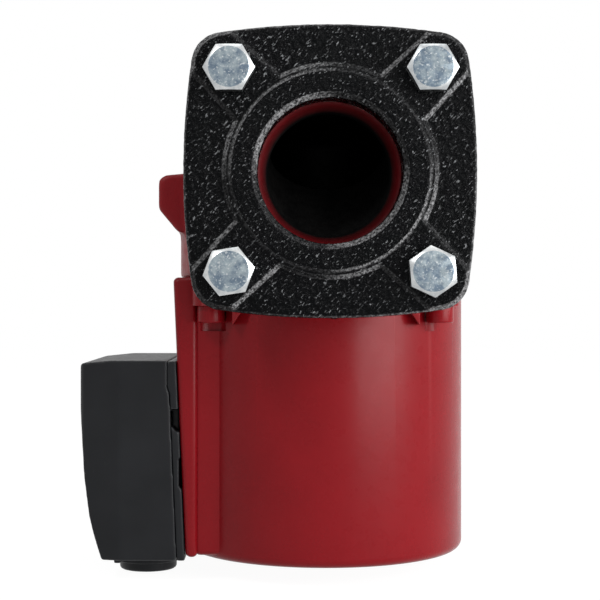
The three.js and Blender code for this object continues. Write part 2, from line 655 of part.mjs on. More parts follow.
function statorHousing() {
  const barrel = turned([
    [0, MOTOR_END_Z],
    [MOTOR_RADIUS - MOTOR_EDGE, MOTOR_END_Z],
    [MOTOR_RADIUS - 1.3, MOTOR_END_Z + 1.3],
    [MOTOR_RADIUS, MOTOR_END_Z + MOTOR_EDGE],
    [MOTOR_RADIUS, JOINT_Z],
    [0, JOINT_Z],
  ]);
  const shell = cut(
    joined(
      barrel,
      ears(MOTOR_FLANGE_Z, JOINT_Z),
      gussets(),
      block(PAD_X, 0, -PAD_HALF_WIDTH, PAD_HALF_WIDTH, PAD_BOTTOM_Z, MOTOR_FLANGE_Z),
      terminalPlate(),
    ),
    beyondPlate(),
  );
  const pocketBottom = MOTOR_FLANGE_Z - SCREW_HEAD_HEIGHT - 4;
  const screwPockets = screwPlaces().flatMap(([x, y]) => [
    column(SCREW_RADIUS + FIT, MOTOR_FLANGE_Z - 1, JOINT_Z + 1, x, y, SMALL_ROUND),
    column(SCREW_HEAD_RADIUS + 2 * FIT, pocketBottom, MOTOR_FLANGE_Z, x, y, SMALL_ROUND),
  ]);
  const baseScrewHoles = [-1, 1].map((side) =>
    barX(COVER_SCREW_RADIUS + FIT, PLATE_TOP_X - 1, PAD_X + 5, side * BASE_SCREW_Y, BASE_SCREW_Z),
  );
  return cut(
    shell,
    column(MOTOR_BORE_RADIUS, MOTOR_FLOOR_Z, JOINT_Z + 1),
    column(CAN_NECK_RADIUS + FIT, VENT_SEAT_Z - 1, MOTOR_FLOOR_Z + 1),
    column(VENT_HEAD_RADIUS + VENT_RECESS_GAP, MOTOR_END_Z - 1, VENT_SEAT_Z, 0, 0, SMALL_ROUND),
    barX(LEAD_HOLE_RADIUS, PLATE_TOP_X - 1, -MOTOR_BORE_RADIUS + 2, 0, LEAD_HOLE_Z),
    ...screwPockets,
    ...baseScrewHoles,
  );
}

function rotorCan() {
  const neckBore = VENT_RADIUS + FIT;
  const floor = CAN_BOTTOM_Z + 2 * CAN_WALL;
  return turned([
    [neckBore, VENT_SEAT_Z + FIT],
    [CAN_NECK_RADIUS, VENT_SEAT_Z + FIT],
    [CAN_NECK_RADIUS, CAN_BOTTOM_Z],
    [CAN_RADIUS, CAN_BOTTOM_Z],
    [CAN_RADIUS, JOINT_Z - CAN_FLANGE_THICKNESS],
    [MOTOR_BORE_RADIUS - FIT, JOINT_Z - CAN_FLANGE_THICKNESS],
    [MOTOR_BORE_RADIUS - FIT, JOINT_Z],
    [CAN_BORE_RADIUS, JOINT_Z],
    [CAN_BORE_RADIUS, floor],
    [neckBore, floor],
    [neckBore, VENT_SEAT_Z + FIT],
  ]);
}

function statorCore() {
  return ring(CAN_RADIUS + FIT, MOTOR_BORE_RADIUS - FIT, CORE_BOTTOM_Z, CORE_TOP_Z);
}

function windingEnd(z0, z1) {
  return ring(CAN_RADIUS + WINDING_CAN_GAP, MOTOR_BORE_RADIUS - WINDING_GAP, z0, z1);
}

function bearingPlate() {
  const hubBottom = UPPER_BEARING_TOP_Z - BEARING_LENGTH;
  return turned([
    [BEARING_SEAT_RADIUS, hubBottom],
    [BEARING_HUB_RADIUS, hubBottom],
    [BEARING_HUB_RADIUS, BEARING_PLATE_Z],
    [CHAMBER_RADIUS - FIT, BEARING_PLATE_Z],
    [CHAMBER_RADIUS - FIT, UPPER_BEARING_TOP_Z],
    [BEARING_SEAT_RADIUS, UPPER_BEARING_TOP_Z],
    [BEARING_SEAT_RADIUS, hubBottom],
  ]);
}

function lowerBearingPlate() {
  const plateTop = LOWER_BEARING_Z + BEARING_PLATE_THICKNESS;
  const hubTop = LOWER_BEARING_Z + BEARING_LENGTH;
  return turned([
    [BEARING_SEAT_RADIUS, LOWER_BEARING_Z],
    [CAN_BORE_RADIUS - FIT, LOWER_BEARING_Z],
    [CAN_BORE_RADIUS - FIT, plateTop],
    [BEARING_HUB_RADIUS, plateTop],
    [BEARING_HUB_RADIUS, hubTop],
    [BEARING_SEAT_RADIUS, hubTop],
    [BEARING_SEAT_RADIUS, LOWER_BEARING_Z],
  ]);
}

function bearing(z0) {
  return ring(BORE_FIT_RADIUS, BEARING_RADIUS, z0, z0 + BEARING_LENGTH);
}

function rotorCore() {
  return ring(BORE_FIT_RADIUS, CAN_BORE_RADIUS - ROTOR_GAP, ROTOR_BOTTOM_Z, ROTOR_TOP_Z);
}

function housingSeal() {
  const thickness = 1.1;
  const radius = (CHAMBER_RADIUS + MOTOR_BORE_RADIUS - 0.5) / 2;
  const z = JOINT_Z + CHAMBER_SEAL_DEPTH / 2;
  const profile = [];
  for (let i = 0; i <= 6; i += 1) {
    const turn = (i * Math.PI) / 3;
    profile.push([radius + thickness * Math.cos(turn), z + thickness * Math.sin(turn)]);
  }
  return turned(profile);
}

function motorScrew() {
  const headBottom = MOTOR_FLANGE_Z - SCREW_HEAD_HEIGHT;
  const body = joined(
    column(SCREW_HEAD_RADIUS, headBottom, MOTOR_FLANGE_Z, 0, 0, SMALL_ROUND),
    column(SCREW_RADIUS, MOTOR_FLANGE_Z - 1, JOINT_Z + HOUSING_EAR_HEIGHT - 4, 0, 0, SMALL_ROUND),
  );
  return cut(body, column(SCREW_SOCKET_RADIUS, headBottom - 1, headBottom + 4, 0, 0, 6));
}

function ventPlug() {
  const headTop = VENT_SEAT_Z - FIT - VENT_SEAL_THICKNESS;
  const headBottom = headTop - VENT_HEAD_HEIGHT;
  const body = joined(
    column(VENT_HEAD_RADIUS, headBottom, headTop, 0, 0, SMALL_ROUND),
    column(VENT_RADIUS, headTop - 1, CAN_BOTTOM_Z + CAN_WALL, 0, 0, SMALL_ROUND),
  );
  const reach = VENT_HEAD_RADIUS + 1;
  return cut(body, block(-reach, reach, -1, 1, headBottom - 1, headBottom + 1.6));
}

function ventSeal() {
  const bottom = VENT_SEAT_Z - VENT_SEAL_THICKNESS;
  return ring(VENT_RADIUS + FIT, VENT_HEAD_RADIUS, bottom, VENT_SEAT_Z, 0, 0, SMALL_ROUND);
}

// ---- Impeller and shaft ----
function impellerBlade(index) {
  const steps = 6;
  const [startRadius, endRadius] = [17, IMPELLER_RADIUS - 1];
  const start = (index * 2 * Math.PI) / IMPELLER_BLADES;
  const sweep = -0.95;
  const edge = (side) => {
    const points = [];
    for (let i = 0; i <= steps; i += 1) {
      const share = i / steps;
      const radius = startRadius + share * (endRadius - startRadius);
      const turn = start + sweep * share + (side * IMPELLER_BLADE_THICKNESS) / (2 * radius);
      points.push([radius * Math.cos(turn), radius * Math.sin(turn)]);
    }
    return points;
  };
  const outline = [...edge(-1), ...edge(1).reverse()];
  return slabAlongZ(polygon(outline), SHROUD_Z + 1, SHROUD_Z + SHROUD_THICKNESS + 12);
}

function impeller() {
  const blades = [];
  for (let i = 0; i < IMPELLER_BLADES; i += 1) blades.push(impellerBlade(i));
  const rimZ = SHROUD_Z + SHROUD_THICKNESS + 9;
  const eyeZ = rimZ + 6;
  const eyeInner = IMPELLER_EYE_RADIUS - IMPELLER_EYE_WALL;
  const frontShroud = turned([
    [eyeInner, eyeZ],
    [IMPELLER_RADIUS, rimZ],
    [IMPELLER_RADIUS, rimZ + SHROUD_THICKNESS],
    [IMPELLER_EYE_RADIUS, eyeZ + SHROUD_THICKNESS],
    [IMPELLER_EYE_RADIUS, EYE_FLOOR_Z - 2],
    [eyeInner, EYE_FLOOR_Z - 2],
    [eyeInner, eyeZ],
  ]);
  const bladeSpace = turned([
    [0, SHROUD_Z],
    [IMPELLER_RADIUS, SHROUD_Z],
    [IMPELLER_RADIUS, rimZ + 1],
    [eyeInner, eyeZ + 1],
    [0, eyeZ + 1],
  ]);
  const body = joined(
    column(IMPELLER_RADIUS, SHROUD_Z, SHROUD_Z + SHROUD_THICKNESS),
    column(BEARING_RADIUS, SHROUD_Z, rimZ + 4),
    joined(...blades).intersect(bladeSpace),
    frontShroud,
  );
  return cut(body, column(BORE_FIT_RADIUS, SHROUD_Z - 1, rimZ + 6));
}

const IMPELLER_HUB_TOP_Z = SHROUD_Z + SHROUD_THICKNESS + 13;

function shaft() {
  return column(SHAFT_RADIUS, SHAFT_BOTTOM_Z, SHAFT_TOP_Z, 0, 0, SMALL_ROUND);
}

function impellerNut() {
  const z0 = IMPELLER_HUB_TOP_Z + FIT;
  const body = slabAlongZ(hexagon(18), z0, z0 + 8);
  return cut(body, column(BORE_FIT_RADIUS, z0 - 1, z0 + 9, 0, 0, SMALL_ROUND));
}

function thrustRing() {
  const top = UPPER_BEARING_TOP_Z - BEARING_LENGTH - FIT;
  return ring(BORE_FIT_RADIUS, BEARING_RADIUS - 0.5, top - 4, top, 0, 0, SMALL_ROUND);
}

// ---- Terminal box ----
// X of the parting line between the base and the cover at a height.
function partingX(z) {
  if (z >= PARTING_STEP_TOP_Z) return PARTING_TOP_X;
  const share = (z - PARTING_STEP_BOTTOM_Z) / (BOX_BOTTOM_Z - PARTING_STEP_BOTTOM_Z);
  return PARTING_STEP_X + share * (PARTING_BOTTOM_X - PARTING_STEP_X);
}

function partingLine(top, bottom, offset) {
  return [
    [partingX(top) + offset, top],
    [PARTING_TOP_X + offset, PARTING_STEP_TOP_Z],
    [PARTING_STEP_X + offset, PARTING_STEP_BOTTOM_Z],
    [partingX(bottom) + offset, bottom],
  ];
}

// A notch in the front edge of the base, on the side of the terminal plate.
function baseNotch({ depth, drop, height }) {
  const top = BOX_TOP_Z - drop;
  const front = -BOX_HALF_WIDTH - 1;
  return block(plateFaceX(top) - depth, PAD_X, front, front + 1 + NOTCH_LENGTH, top - height, top);
}

function terminalBoxBase() {
  const right = (z) => plateFaceX(z) - FIT;
  const outline = polygon([
    ...partingLine(BOX_TOP_Z - FIT, BOX_BOTTOM_Z, 0),
    [right(BOX_BOTTOM_Z), BOX_BOTTOM_Z],
    [right(BOX_TOP_Z - FIT), BOX_TOP_Z - FIT],
  ]);
  const body = slabAlongY(outline, -BOX_HALF_WIDTH, BOX_HALF_WIDTH);
  const pillars = [-1, 1].map((side) =>
    barX(
      COVER_SCREW_HEAD_RADIUS + 0.5,
      PILLAR_X,
      PARTING_BOTTOM_X - 1,
      side * COVER_SCREW_Y,
      COVER_SCREW_Z,
    ),
  );
  const pillarHoles = [-1, 1].map((side) =>
    barX(
      COVER_SCREW_RADIUS + FIT,
      PILLAR_X - 2,
      PARTING_BOTTOM_X - 12,
      side * COVER_SCREW_Y,
      COVER_SCREW_Z,
    ),
  );
  const screwHoles = [-1, 1].map((side) =>
    barX(COVER_SCREW_RADIUS + FIT, PARTING_TOP_X - 1, PAD_X, side * BASE_SCREW_Y, BASE_SCREW_Z),
  );
  return cut(
    joined(body, ...pillars),
    barX(LEAD_HOLE_RADIUS, PARTING_TOP_X - 1, PAD_X, 0, LEAD_HOLE_Z),
    baseNotch(UPPER_NOTCH),
    baseNotch(LOWER_NOTCH),
    ...pillarHoles,
    ...screwHoles,
  );
}

function coverOutline(inset) {
  const outer = BOX_OUTER_X + inset;
  const slope = 0.18 * inset;
  const sideTop = BOX_TOP_Z - BOX_OUTER_DROP - BOX_EDGE;
  const sideHeight = sideTop - BOX_BOTTOM_Z;
  return [
    [outer, sideTop - inset],
    ...COVER_CONTOUR.map(([x, share]) => [outer + x, BOX_BOTTOM_Z + share * sideHeight]),
    [outer + COVER_FOOT_INSET - slope, BOX_BOTTOM_Z + inset],
  ];
}

function terminalBoxCover() {
  const outline = polygon([
    [BOX_OUTER_X + BOX_OUTER_SLOPE, BOX_TOP_Z],
    [BOX_OUTER_X + BOX_EDGE, BOX_TOP_Z - BOX_OUTER_DROP],
    ...coverOutline(0),
    ...partingLine(BOX_TOP_Z, BOX_BOTTOM_Z, -FIT).reverse(),
  ]);
  const inner = polygon([
    [BOX_OUTER_X + BOX_OUTER_SLOPE, BOX_TOP_Z - BOX_WALL],
    [BOX_OUTER_X + BOX_WALL + 2, BOX_TOP_Z - BOX_OUTER_DROP - BOX_WALL],
    ...coverOutline(BOX_WALL),
    [PARTING_BOTTOM_X + 8, BOX_BOTTOM_Z + BOX_WALL],
    [PARTING_BOTTOM_X + 8, BOX_TOP_Z - BOX_WALL],
  ]);
  const half = BOX_HALF_WIDTH;
  const innerHalf = half - BOX_WALL;
  const plan = roundedRectangle(BOX_OUTER_X, BOX_OUTER_X + 80, -half, half, BOX_CORNER_RADIUS);
  const innerPlan = roundedRectangle(
    BOX_OUTER_X + BOX_WALL,
    BOX_OUTER_X + 80,
    -innerHalf,
    innerHalf,
    BOX_CORNER_RADIUS - BOX_WALL,
  );
  const depth = [BOX_BOTTOM_Z - 2, BOX_TOP_Z + 2];
  const shell = slabAlongY(outline, -half, half).intersect(slabAlongZ(plan, ...depth));
  const space = slabAlongY(inner, -innerHalf, innerHalf).intersect(slabAlongZ(innerPlan, ...depth));
  const screwLine = (radius, x0, x1) =>
    [-1, 1].map((side) => barX(radius, x0, x1, side * COVER_SCREW_Y, COVER_SCREW_Z));
  const tabX = ENTRY_X - TAB_OFFSET;
  const tabY = ENTRY_Y - ENTRY_COLLAR_RADIUS;
  const tab = block(tabX, tabX + TAB_WIDTH, tabY, tabY + 5, BOX_BOTTOM_Z - TAB_HEIGHT, BOX_BOTTOM_Z + 1);
  const bosses = screwLine(COVER_SCREW_HEAD_RADIUS + 2, BOX_OUTER_X + 1, BOX_OUTER_X + BOSS_LENGTH);
  const body = joined(cut(shell, space), ...bosses, tab);
  return cut(
    body,
    column(
      ENTRY_THREAD_RADIUS + FIT,
      BOX_BOTTOM_Z - 1,
      BOX_BOTTOM_Z + ENTRY_THREAD_LENGTH + 1,
      ENTRY_X,
      ENTRY_Y,
      MIDDLE_ROUND,
    ),
    column(ENTRY_COLLAR_RADIUS + FIT, BOX_BOTTOM_Z - 5, BOX_BOTTOM_Z, ENTRY_X, ENTRY_Y, MIDDLE_ROUND),
    ...screwLine(COVER_SCREW_RADIUS + FIT, BOX_OUTER_X - 1, BOX_OUTER_X + BOSS_LENGTH + 1),
    ...screwLine(COVER_SCREW_HEAD_RADIUS + FIT, BOX_OUTER_X - 1, BOX_OUTER_X + 3),
  );
}

function coverGasket() {
  const [top, bottom] = [BOX_TOP_Z - BOX_WALL - FIT, BOX_BOTTOM_Z + BOX_WALL + FIT];
  const outline = polygon([...partingLine(top, bottom, -1.8), ...partingLine(top, bottom, -FIT).reverse()]);
  const half = BOX_HALF_WIDTH - BOX_WALL - FIT;
  const width = 2.5;
  const [left, right] = [PARTING_TOP_X - 10, PAD_X];
  const window = block(left, right, -half + width, half - width, bottom + width, top - width);
  return cut(slabAlongY(outline, -half, half), window);
}

function terminalBlock() {
  const z0 = CAPACITOR_BOTTOM_Z + CAPACITOR_LENGTH + BLOCK_GAP;
  const z1 = z0 + BLOCK_HEIGHT;
  const right = partingX(z1) - FIT;
  const left = right - BLOCK_DEPTH;
  const body = block(left, right, -BLOCK_HALF_LENGTH, BLOCK_HALF_LENGTH, z0, z1);
  const ways = [-2, -1, 0, 1, 2].map((way) =>
    block(left - 1, left + 6, way * BLOCK_WAY - 3, way * BLOCK_WAY + 3, z0 + 5, z1 - 5),
  );
  return cut(body, ...ways);
}

function capacitor() {
  const bottom = CAPACITOR_BOTTOM_Z;
  return turned(
    [
      [0, bottom],
      [CAPACITOR_RADIUS - 1.5, bottom],
      [CAPACITOR_RADIUS, bottom + 1.5],
      [CAPACITOR_RADIUS, bottom + CAPACITOR_LENGTH],
      [0, bottom + CAPACITOR_LENGTH],
    ],
    partingX(bottom + CAPACITOR_LENGTH) - FIT - CAPACITOR_RADIUS,
    CAPACITOR_Y,
    MIDDLE_ROUND,
  );
}

function entryPlug() {
  const top = BOX_BOTTOM_Z - FIT;
  const collar = top - ENTRY_COLLAR_HEIGHT;
  const bottom = collar - ENTRY_CAP_HEIGHT;
  return turned(
    [
      [0, bottom],
      [ENTRY_CAP_RADIUS - 2, bottom],
      [ENTRY_CAP_RADIUS, bottom + 2],
      [ENTRY_CAP_RADIUS, collar],
      [ENTRY_COLLAR_RADIUS, collar],
      [ENTRY_COLLAR_RADIUS, top],
      [ENTRY_THREAD_RADIUS, top],
      [ENTRY_THREAD_RADIUS, BOX_BOTTOM_Z + ENTRY_THREAD_LENGTH],
      [0, BOX_BOTTOM_Z + ENTRY_THREAD_LENGTH],
    ],
    ENTRY_X,
    ENTRY_Y,
    MIDDLE_ROUND,
  );
}

function entryLocknut() {
  const z0 = BOX_BOTTOM_Z + BOX_WALL + FIT;
  const bore = ENTRY_THREAD_RADIUS + FIT;
  const rim = ENTRY_THREAD_RADIUS + LOCKNUT_WALL;
  return ring(bore, rim, z0, z0 + 4, ENTRY_X, ENTRY_Y, MIDDLE_ROUND);
}

function coverScrew(side) {
  const headX = BOX_OUTER_X + 0.6;
  return joined(
    barX(COVER_SCREW_HEAD_RADIUS, headX, headX + 2.1, side * COVER_SCREW_Y, COVER_SCREW_Z),
    barX(COVER_SCREW_RADIUS, headX + 1, PARTING_BOTTOM_X - 14, side * COVER_SCREW_Y, COVER_SCREW_Z, 12),
  );
}

function baseScrew(side) {
  const headX = partingX(BASE_SCREW_Z) - FIT;
  return joined(
    barX(COVER_SCREW_HEAD_RADIUS, headX - 2.4, headX, side * BASE_SCREW_Y, BASE_SCREW_Z),
    barX(COVER_SCREW_RADIUS, headX - 1, PAD_X + 4, side * BASE_SCREW_Y, BASE_SCREW_Z, 12),
  );
}

function leadGrommet() {
  const [x0, x1] = [PARTING_TOP_X + 1, -MOTOR_BORE_RADIUS - GROMMET_GAP];
  const outer = barX(LEAD_HOLE_RADIUS - FIT, x0, x1, 0, LEAD_HOLE_Z);
  return cut(outer, barX(LEAD_HOLE_RADIUS - 2.5, x0 - 1, x1 + 1, 0, LEAD_HOLE_Z));
}

// ---- Materials ----
const FINISHES = {
  redPaint: { color: 0x89252b, roughness: 0.38, metalness: 0.1 },
  blackPaint: { color: 0x212324, roughness: 0.55, metalness: 0.1 },
  blackPlastic: { color: 0x34363a, roughness: 0.6, metalness: 0 },
  zinc: { color: 0xb4bcc0, roughness: 0.35, metalness: 0.9 },
  stainless: { color: 0xb9bbbc, roughness: 0.25, metalness: 1 },
  electricalSteel: { color: 0x6f7276, roughness: 0.5, metalness: 0.8 },
  copper: { color: 0xa8562b, roughness: 0.45, metalness: 0.7 },
  ceramic: { color: 0xe7e2d6, roughness: 0.4, metalness: 0 },
  bronze: { color: 0x9a7742, roughness: 0.4, metalness: 0.9 },
  rubber: { color: 0x1b1b1c, roughness: 0.85, metalness: 0 },
  fibre: { color: 0x6a6c66, roughness: 0.9, metalness: 0 },
  whitePlastic: { color: 0xd8d8d2, roughness: 0.5, metalness: 0 },
};

// ---- Assembly ----
const pump = new THREE.Group();

function meshOf(name, body, finish) {
  const { vertProperties, triVerts, numProp } = body.getMesh();
  const positions = [];
  for (const vertex of triVerts) {
    positions.push(...vertProperties.subarray(vertex * numProp, vertex * numProp + 3));
  }
  const geometry = new THREE.BufferGeometry();
  geometry.setAttribute("position", new THREE.Float32BufferAttribute(positions, 3));
  geometry.computeVertexNormals();
  const mesh = new THREE.Mesh(geometry, new THREE.MeshStandardMaterial(FINISHES[finish]));
  mesh.name = name;
  return mesh;
}

function place(name, body, finish) {
  pump.add(meshOf(name, body, finish));
}

place("pump_housing", pumpHousing(), "redPaint");
place("neck_ring", neckRing(), "stainless");

// Each end carries the same flange set, turned half round for the outlet.
for (const [end, direction] of ENDS) {
  const set = new THREE.Group();
  set.rotation.z = direction > 0 ? Math.PI : 0;
  set.add(meshOf(`${end}_flange`, companionFlange(), "blackPaint"));
  set.add(meshOf(`${end}_gasket`, flangeGasket(), "fibre"));
  CORNERS.forEach(([i, j], index) => {
    const bolt = meshOf(`${end}_bolt_${index + 1}`, flangeBolt(), "zinc");
    const nut = meshOf(`${end}_nut_${index + 1}`, flangeNut(), "zinc");
    bolt.position.set(i * BOLT_OFFSET, 0, j * BOLT_OFFSET);
    nut.position.set(i * BOLT_OFFSET, 0, j * BOLT_OFFSET);
    set.add(bolt, nut);
  });
  pump.add(set);
}

place("stator_housing", statorHousing(), "redPaint");
place("stator_core", statorCore(), "electricalSteel");
const UPPER_WINDING_Z = CORE_TOP_Z + FIT;
const LOWER_WINDING_Z = CORE_BOTTOM_Z - FIT;
place("winding_upper", windingEnd(UPPER_WINDING_Z, UPPER_WINDING_Z + WINDING_HEIGHT), "copper");
place("winding_lower", windingEnd(LOWER_WINDING_Z - WINDING_HEIGHT, LOWER_WINDING_Z), "copper");
place("rotor_can", rotorCan(), "stainless");
place("bearing_plate", bearingPlate(), "stainless");
place("bearing_upper", bearing(UPPER_BEARING_TOP_Z - BEARING_LENGTH), "ceramic");
place("lower_bearing_plate", lowerBearingPlate(), "stainless");
place("bearing_lower", bearing(LOWER_BEARING_Z), "ceramic");
place("housing_seal", housingSeal(), "rubber");
screwPlaces().forEach(([x, y], index) => {
  const screw = meshOf(`motor_screw_${index + 1}`, motorScrew(), "redPaint");
  screw.position.set(x, y, 0);
  pump.add(screw);
});
place("vent_plug", ventPlug(), "bronze");
place("vent_seal", ventSeal(), "rubber");

place("rotor_core", rotorCore(), "electricalSteel");
place("shaft", shaft(), "ceramic");
place("thrust_ring", thrustRing(), "ceramic");
place("impeller", impeller(), "stainless");
place("impeller_nut", impellerNut(), "stainless");

place("terminal_box_base", terminalBoxBase(), "blackPlastic");
place("terminal_box_cover", terminalBoxCover(), "blackPlastic");
place("cover_gasket", coverGasket(), "rubber");
place("terminal_block", terminalBlock(), "whitePlastic");
place("capacitor", capacitor(), "whitePlastic");
place("entry_plug", entryPlug(), "blackPlastic");
place("entry_locknut", entryLocknut(), "blackPlastic");
place("lead_grommet", leadGrommet(), "rubber");
for (const [name, side] of Object.entries({ front: -1, rear: 1 })) {
  place(`cover_screw_${name}`, coverScrew(side), "zinc");
  place(`base_screw_${name}`, baseScrew(side), "zinc");
}

export default pump;
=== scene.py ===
"""Looks of an in-line wet-rotor circulator pump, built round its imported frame, in metres."""
import math

import bmesh
import bpy
from mathutils import Matrix, Vector, noise
from mathutils.bvhtree import BVHTree


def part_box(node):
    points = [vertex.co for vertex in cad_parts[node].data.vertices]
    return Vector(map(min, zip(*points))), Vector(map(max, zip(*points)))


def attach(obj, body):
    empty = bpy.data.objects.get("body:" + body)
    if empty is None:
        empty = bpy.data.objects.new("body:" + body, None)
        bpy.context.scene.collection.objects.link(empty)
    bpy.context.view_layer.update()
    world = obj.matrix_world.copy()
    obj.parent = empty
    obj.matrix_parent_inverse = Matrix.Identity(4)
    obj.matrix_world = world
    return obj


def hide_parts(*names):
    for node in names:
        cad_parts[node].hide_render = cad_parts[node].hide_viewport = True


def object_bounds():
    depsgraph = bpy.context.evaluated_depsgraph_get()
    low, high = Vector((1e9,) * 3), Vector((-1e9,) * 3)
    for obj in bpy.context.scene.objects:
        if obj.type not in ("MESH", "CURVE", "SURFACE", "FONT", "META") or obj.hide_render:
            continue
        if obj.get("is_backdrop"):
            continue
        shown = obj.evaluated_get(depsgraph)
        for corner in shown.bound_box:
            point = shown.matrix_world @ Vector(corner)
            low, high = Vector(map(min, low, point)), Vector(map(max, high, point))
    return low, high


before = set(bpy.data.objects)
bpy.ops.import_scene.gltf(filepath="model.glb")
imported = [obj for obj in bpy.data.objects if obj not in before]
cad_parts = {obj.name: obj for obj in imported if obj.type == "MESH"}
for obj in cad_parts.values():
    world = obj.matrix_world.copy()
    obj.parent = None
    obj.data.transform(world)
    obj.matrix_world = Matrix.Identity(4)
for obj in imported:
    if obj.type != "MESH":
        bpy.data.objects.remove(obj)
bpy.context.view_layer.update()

MM = 0.001

# ---- Sizes, in millimetres, read from the frame where a node holds them ----


def extent(node):
    """Lowest and highest corner of a CAD node in millimetres."""
    low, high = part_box(node)
    return [v / MM for v in low], [v / MM for v in high]


FLANGE_LOW, FLANGE_HIGH = extent("inlet_flange")
FLANGE_HALF = FLANGE_HIGH[0]
HUB_FRONT = FLANGE_LOW[1]
FLANGE_SEAT = FLANGE_HIGH[1]
HUB_HEIGHT = 3.5
STRIP_HEIGHT = 2.0
PLATE_FRONT = HUB_FRONT + HUB_HEIGHT
STRIP_FRONT = PLATE_FRONT - STRIP_HEIGHT
HUB_RADIUS = 41.6
HUB_FOOT_RADIUS = 45.6
SOCKET_RADIUS = 30.7
SIDE_RADIUS = 320.0  # of the flange's bulged sides
CORNER_RADIUS = 13.5
FLANGE_EDGE = 1.6
BOLT_LOW, BOLT_HIGH = extent("inlet_bolt_2")
BOLT_OFFSET = (BOLT_LOW[0] + BOLT_HIGH[0]) / 2
BOLT_RADIUS = 6.0
BOLT_HOLE_RADIUS = BOLT_RADIUS + 0.6
BOLT_HEAD_HEIGHT = 7.5
ACROSS_FLATS = 19.0
HEAD_CHAMFER = 2.1
NUT_LOW, NUT_HIGH = extent("inlet_nut_2")
PORT_BACK = NUT_LOW[1]
PORT_FACE = PORT_BACK - 12.0
PORT_BORE_RADIUS = 27.0
PORT_LIP_RADIUS = 30.4
PORT_LIP_DEPTH = 6.0
GASKET_RADIUS = 46.5

MOTOR_LOW, MOTOR_HIGH = extent("stator_housing")
JOINT_Z = MOTOR_HIGH[2]
MOTOR_END_Z = MOTOR_LOW[2]
MOTOR_RADIUS = MOTOR_HIGH[0]
MOTOR_EDGE = 4.5
MOTOR_FLANGE_Z = JOINT_Z - 13.5
MOTOR_BORE_RADIUS = MOTOR_RADIUS - 8.0
PLATE_TOP_X = MOTOR_LOW[0]
PLATE_BOTTOM_X = PLATE_TOP_X + 5.85
PLATE_BOTTOM_Z = MOTOR_END_Z + 1.9
PLATE_HALF_WIDTH = 50.5
PAD_X = PLATE_TOP_X + 11.5
PAD_HALF_WIDTH = 49.0
PAD_BOTTOM_Z = MOTOR_END_Z + 2.5
SCREW_LOW, SCREW_HIGH = extent("motor_screw_2")
SCREW_OFFSET = (SCREW_LOW[0] + SCREW_HIGH[0]) / 2
SCREW_HEAD_RADIUS = 6.5
EAR_RADIUS = 9.0
HOUSING_EAR_HEIGHT = 14.0
VENT_RECESS_RADIUS = 13.5
VENT_RECESS_DEPTH = 5.0
VENT_NECK_RADIUS = 10.3
MOTOR_END_WALL = 10.0
GUSSET_OUTER_X = 43.5
GUSSET_INNER_X = 37.5
GUSSET_DROP = 9.0
GUSSET_ENDS_Y = (50.0, 63.5)
LEAD_HOLE_RADIUS = 7.0
LEAD_HOLE_Z = -100.0

LUG_X = extent("pump_housing")[0][0]
LUG_BOTTOM_Z = JOINT_Z + 22.5
LUG_SHOULDER_Z = -9.6
LUG_EDGE_Z = 4.6
LUG_TOP_Z = 7.0
LUG_FRONT_Y = -25.0
LUG_REAR_Y = 45.0
DOME_TOP_Z = 42.0
VOLUTE_RADIUS = 71.5
VOLUTE_TOP_Z = 3.0
CHAMBER_RADIUS = 58.0
CHAMBER_TOP_Z = -12.0

COVER_LOW, COVER_HIGH = extent("terminal_box_cover")
BOX_OUTER_X = COVER_LOW[0]
BOX_TOP_Z = COVER_HIGH[2]
BOX_BOTTOM_Z = COVER_LOW[2] + 4.0
BOX_HALF_WIDTH = COVER_HIGH[1]
BOX_WALL = 3.0
BOX_SLOPE_X = BOX_OUTER_X + 15.6
BOX_OUTER_DROP = 1.4
BOX_REAR_X = -60.0  # past the plate, where tools for the box end
PARTING_TOP_X = PLATE_TOP_X - 2.85
PARTING = [
    (PARTING_TOP_X, BOX_TOP_Z),
    (PARTING_TOP_X, BOX_TOP_Z - 12),
    (PLATE_TOP_X - 1.65, BOX_TOP_Z - 16),
    (PLATE_BOTTOM_X - 4.15, BOX_BOTTOM_Z),
]
PLUG_LOW, PLUG_HIGH = extent("entry_plug")
ENTRY_X = (PLUG_LOW[0] + PLUG_HIGH[0]) / 2
ENTRY_Y = (PLUG_LOW[1] + PLUG_HIGH[1]) / 2
ENTRY_THREAD_RADIUS = 10.5
ENTRY_CAP_RADIUS = 14.0
ENTRY_COLLAR_RADIUS = 16.5
ENTRY_COLLAR_HEIGHT = 4.1
SCREW_LINE_Y = 37.0
SCREW_LINE_Z = BOX_TOP_Z - 21
BOSS_LENGTH = 9.0
BASE_SCREW_Y = 35.0
BASE_SCREW_Z = -122.0
BOX_SCREW_HOLE = 2.3  # radius
NOTCHES = [(4, 23, 9), (1, 46, 15)]  # depth, drop from the box's top and height of each
NOTCH_LENGTH = 7.0

CORNERS = [(-1, 1), (1, 1), (-1, -1), (1, -1)]
HEAD_TURNS = [0.0, 0.0, 9.0, 35.0]  # degrees each front bolt head is turned
TAU = 2 * math.pi

# ---- Mesh tools ----


def mesh_object(name, bm):
    """Links a bmesh, given in millimetres, as an object in metres."""
    bmesh.ops.scale(bm, vec=(MM, MM, MM), verts=bm.verts)
    bmesh.ops.recalc_face_normals(bm, faces=bm.faces)
    mesh = bpy.data.meshes.new(name)
    bm.to_mesh(mesh)
    bm.free()
    piece = bpy.data.objects.new(name, mesh)
    bpy.context.scene.collection.objects.link(piece)
    return piece


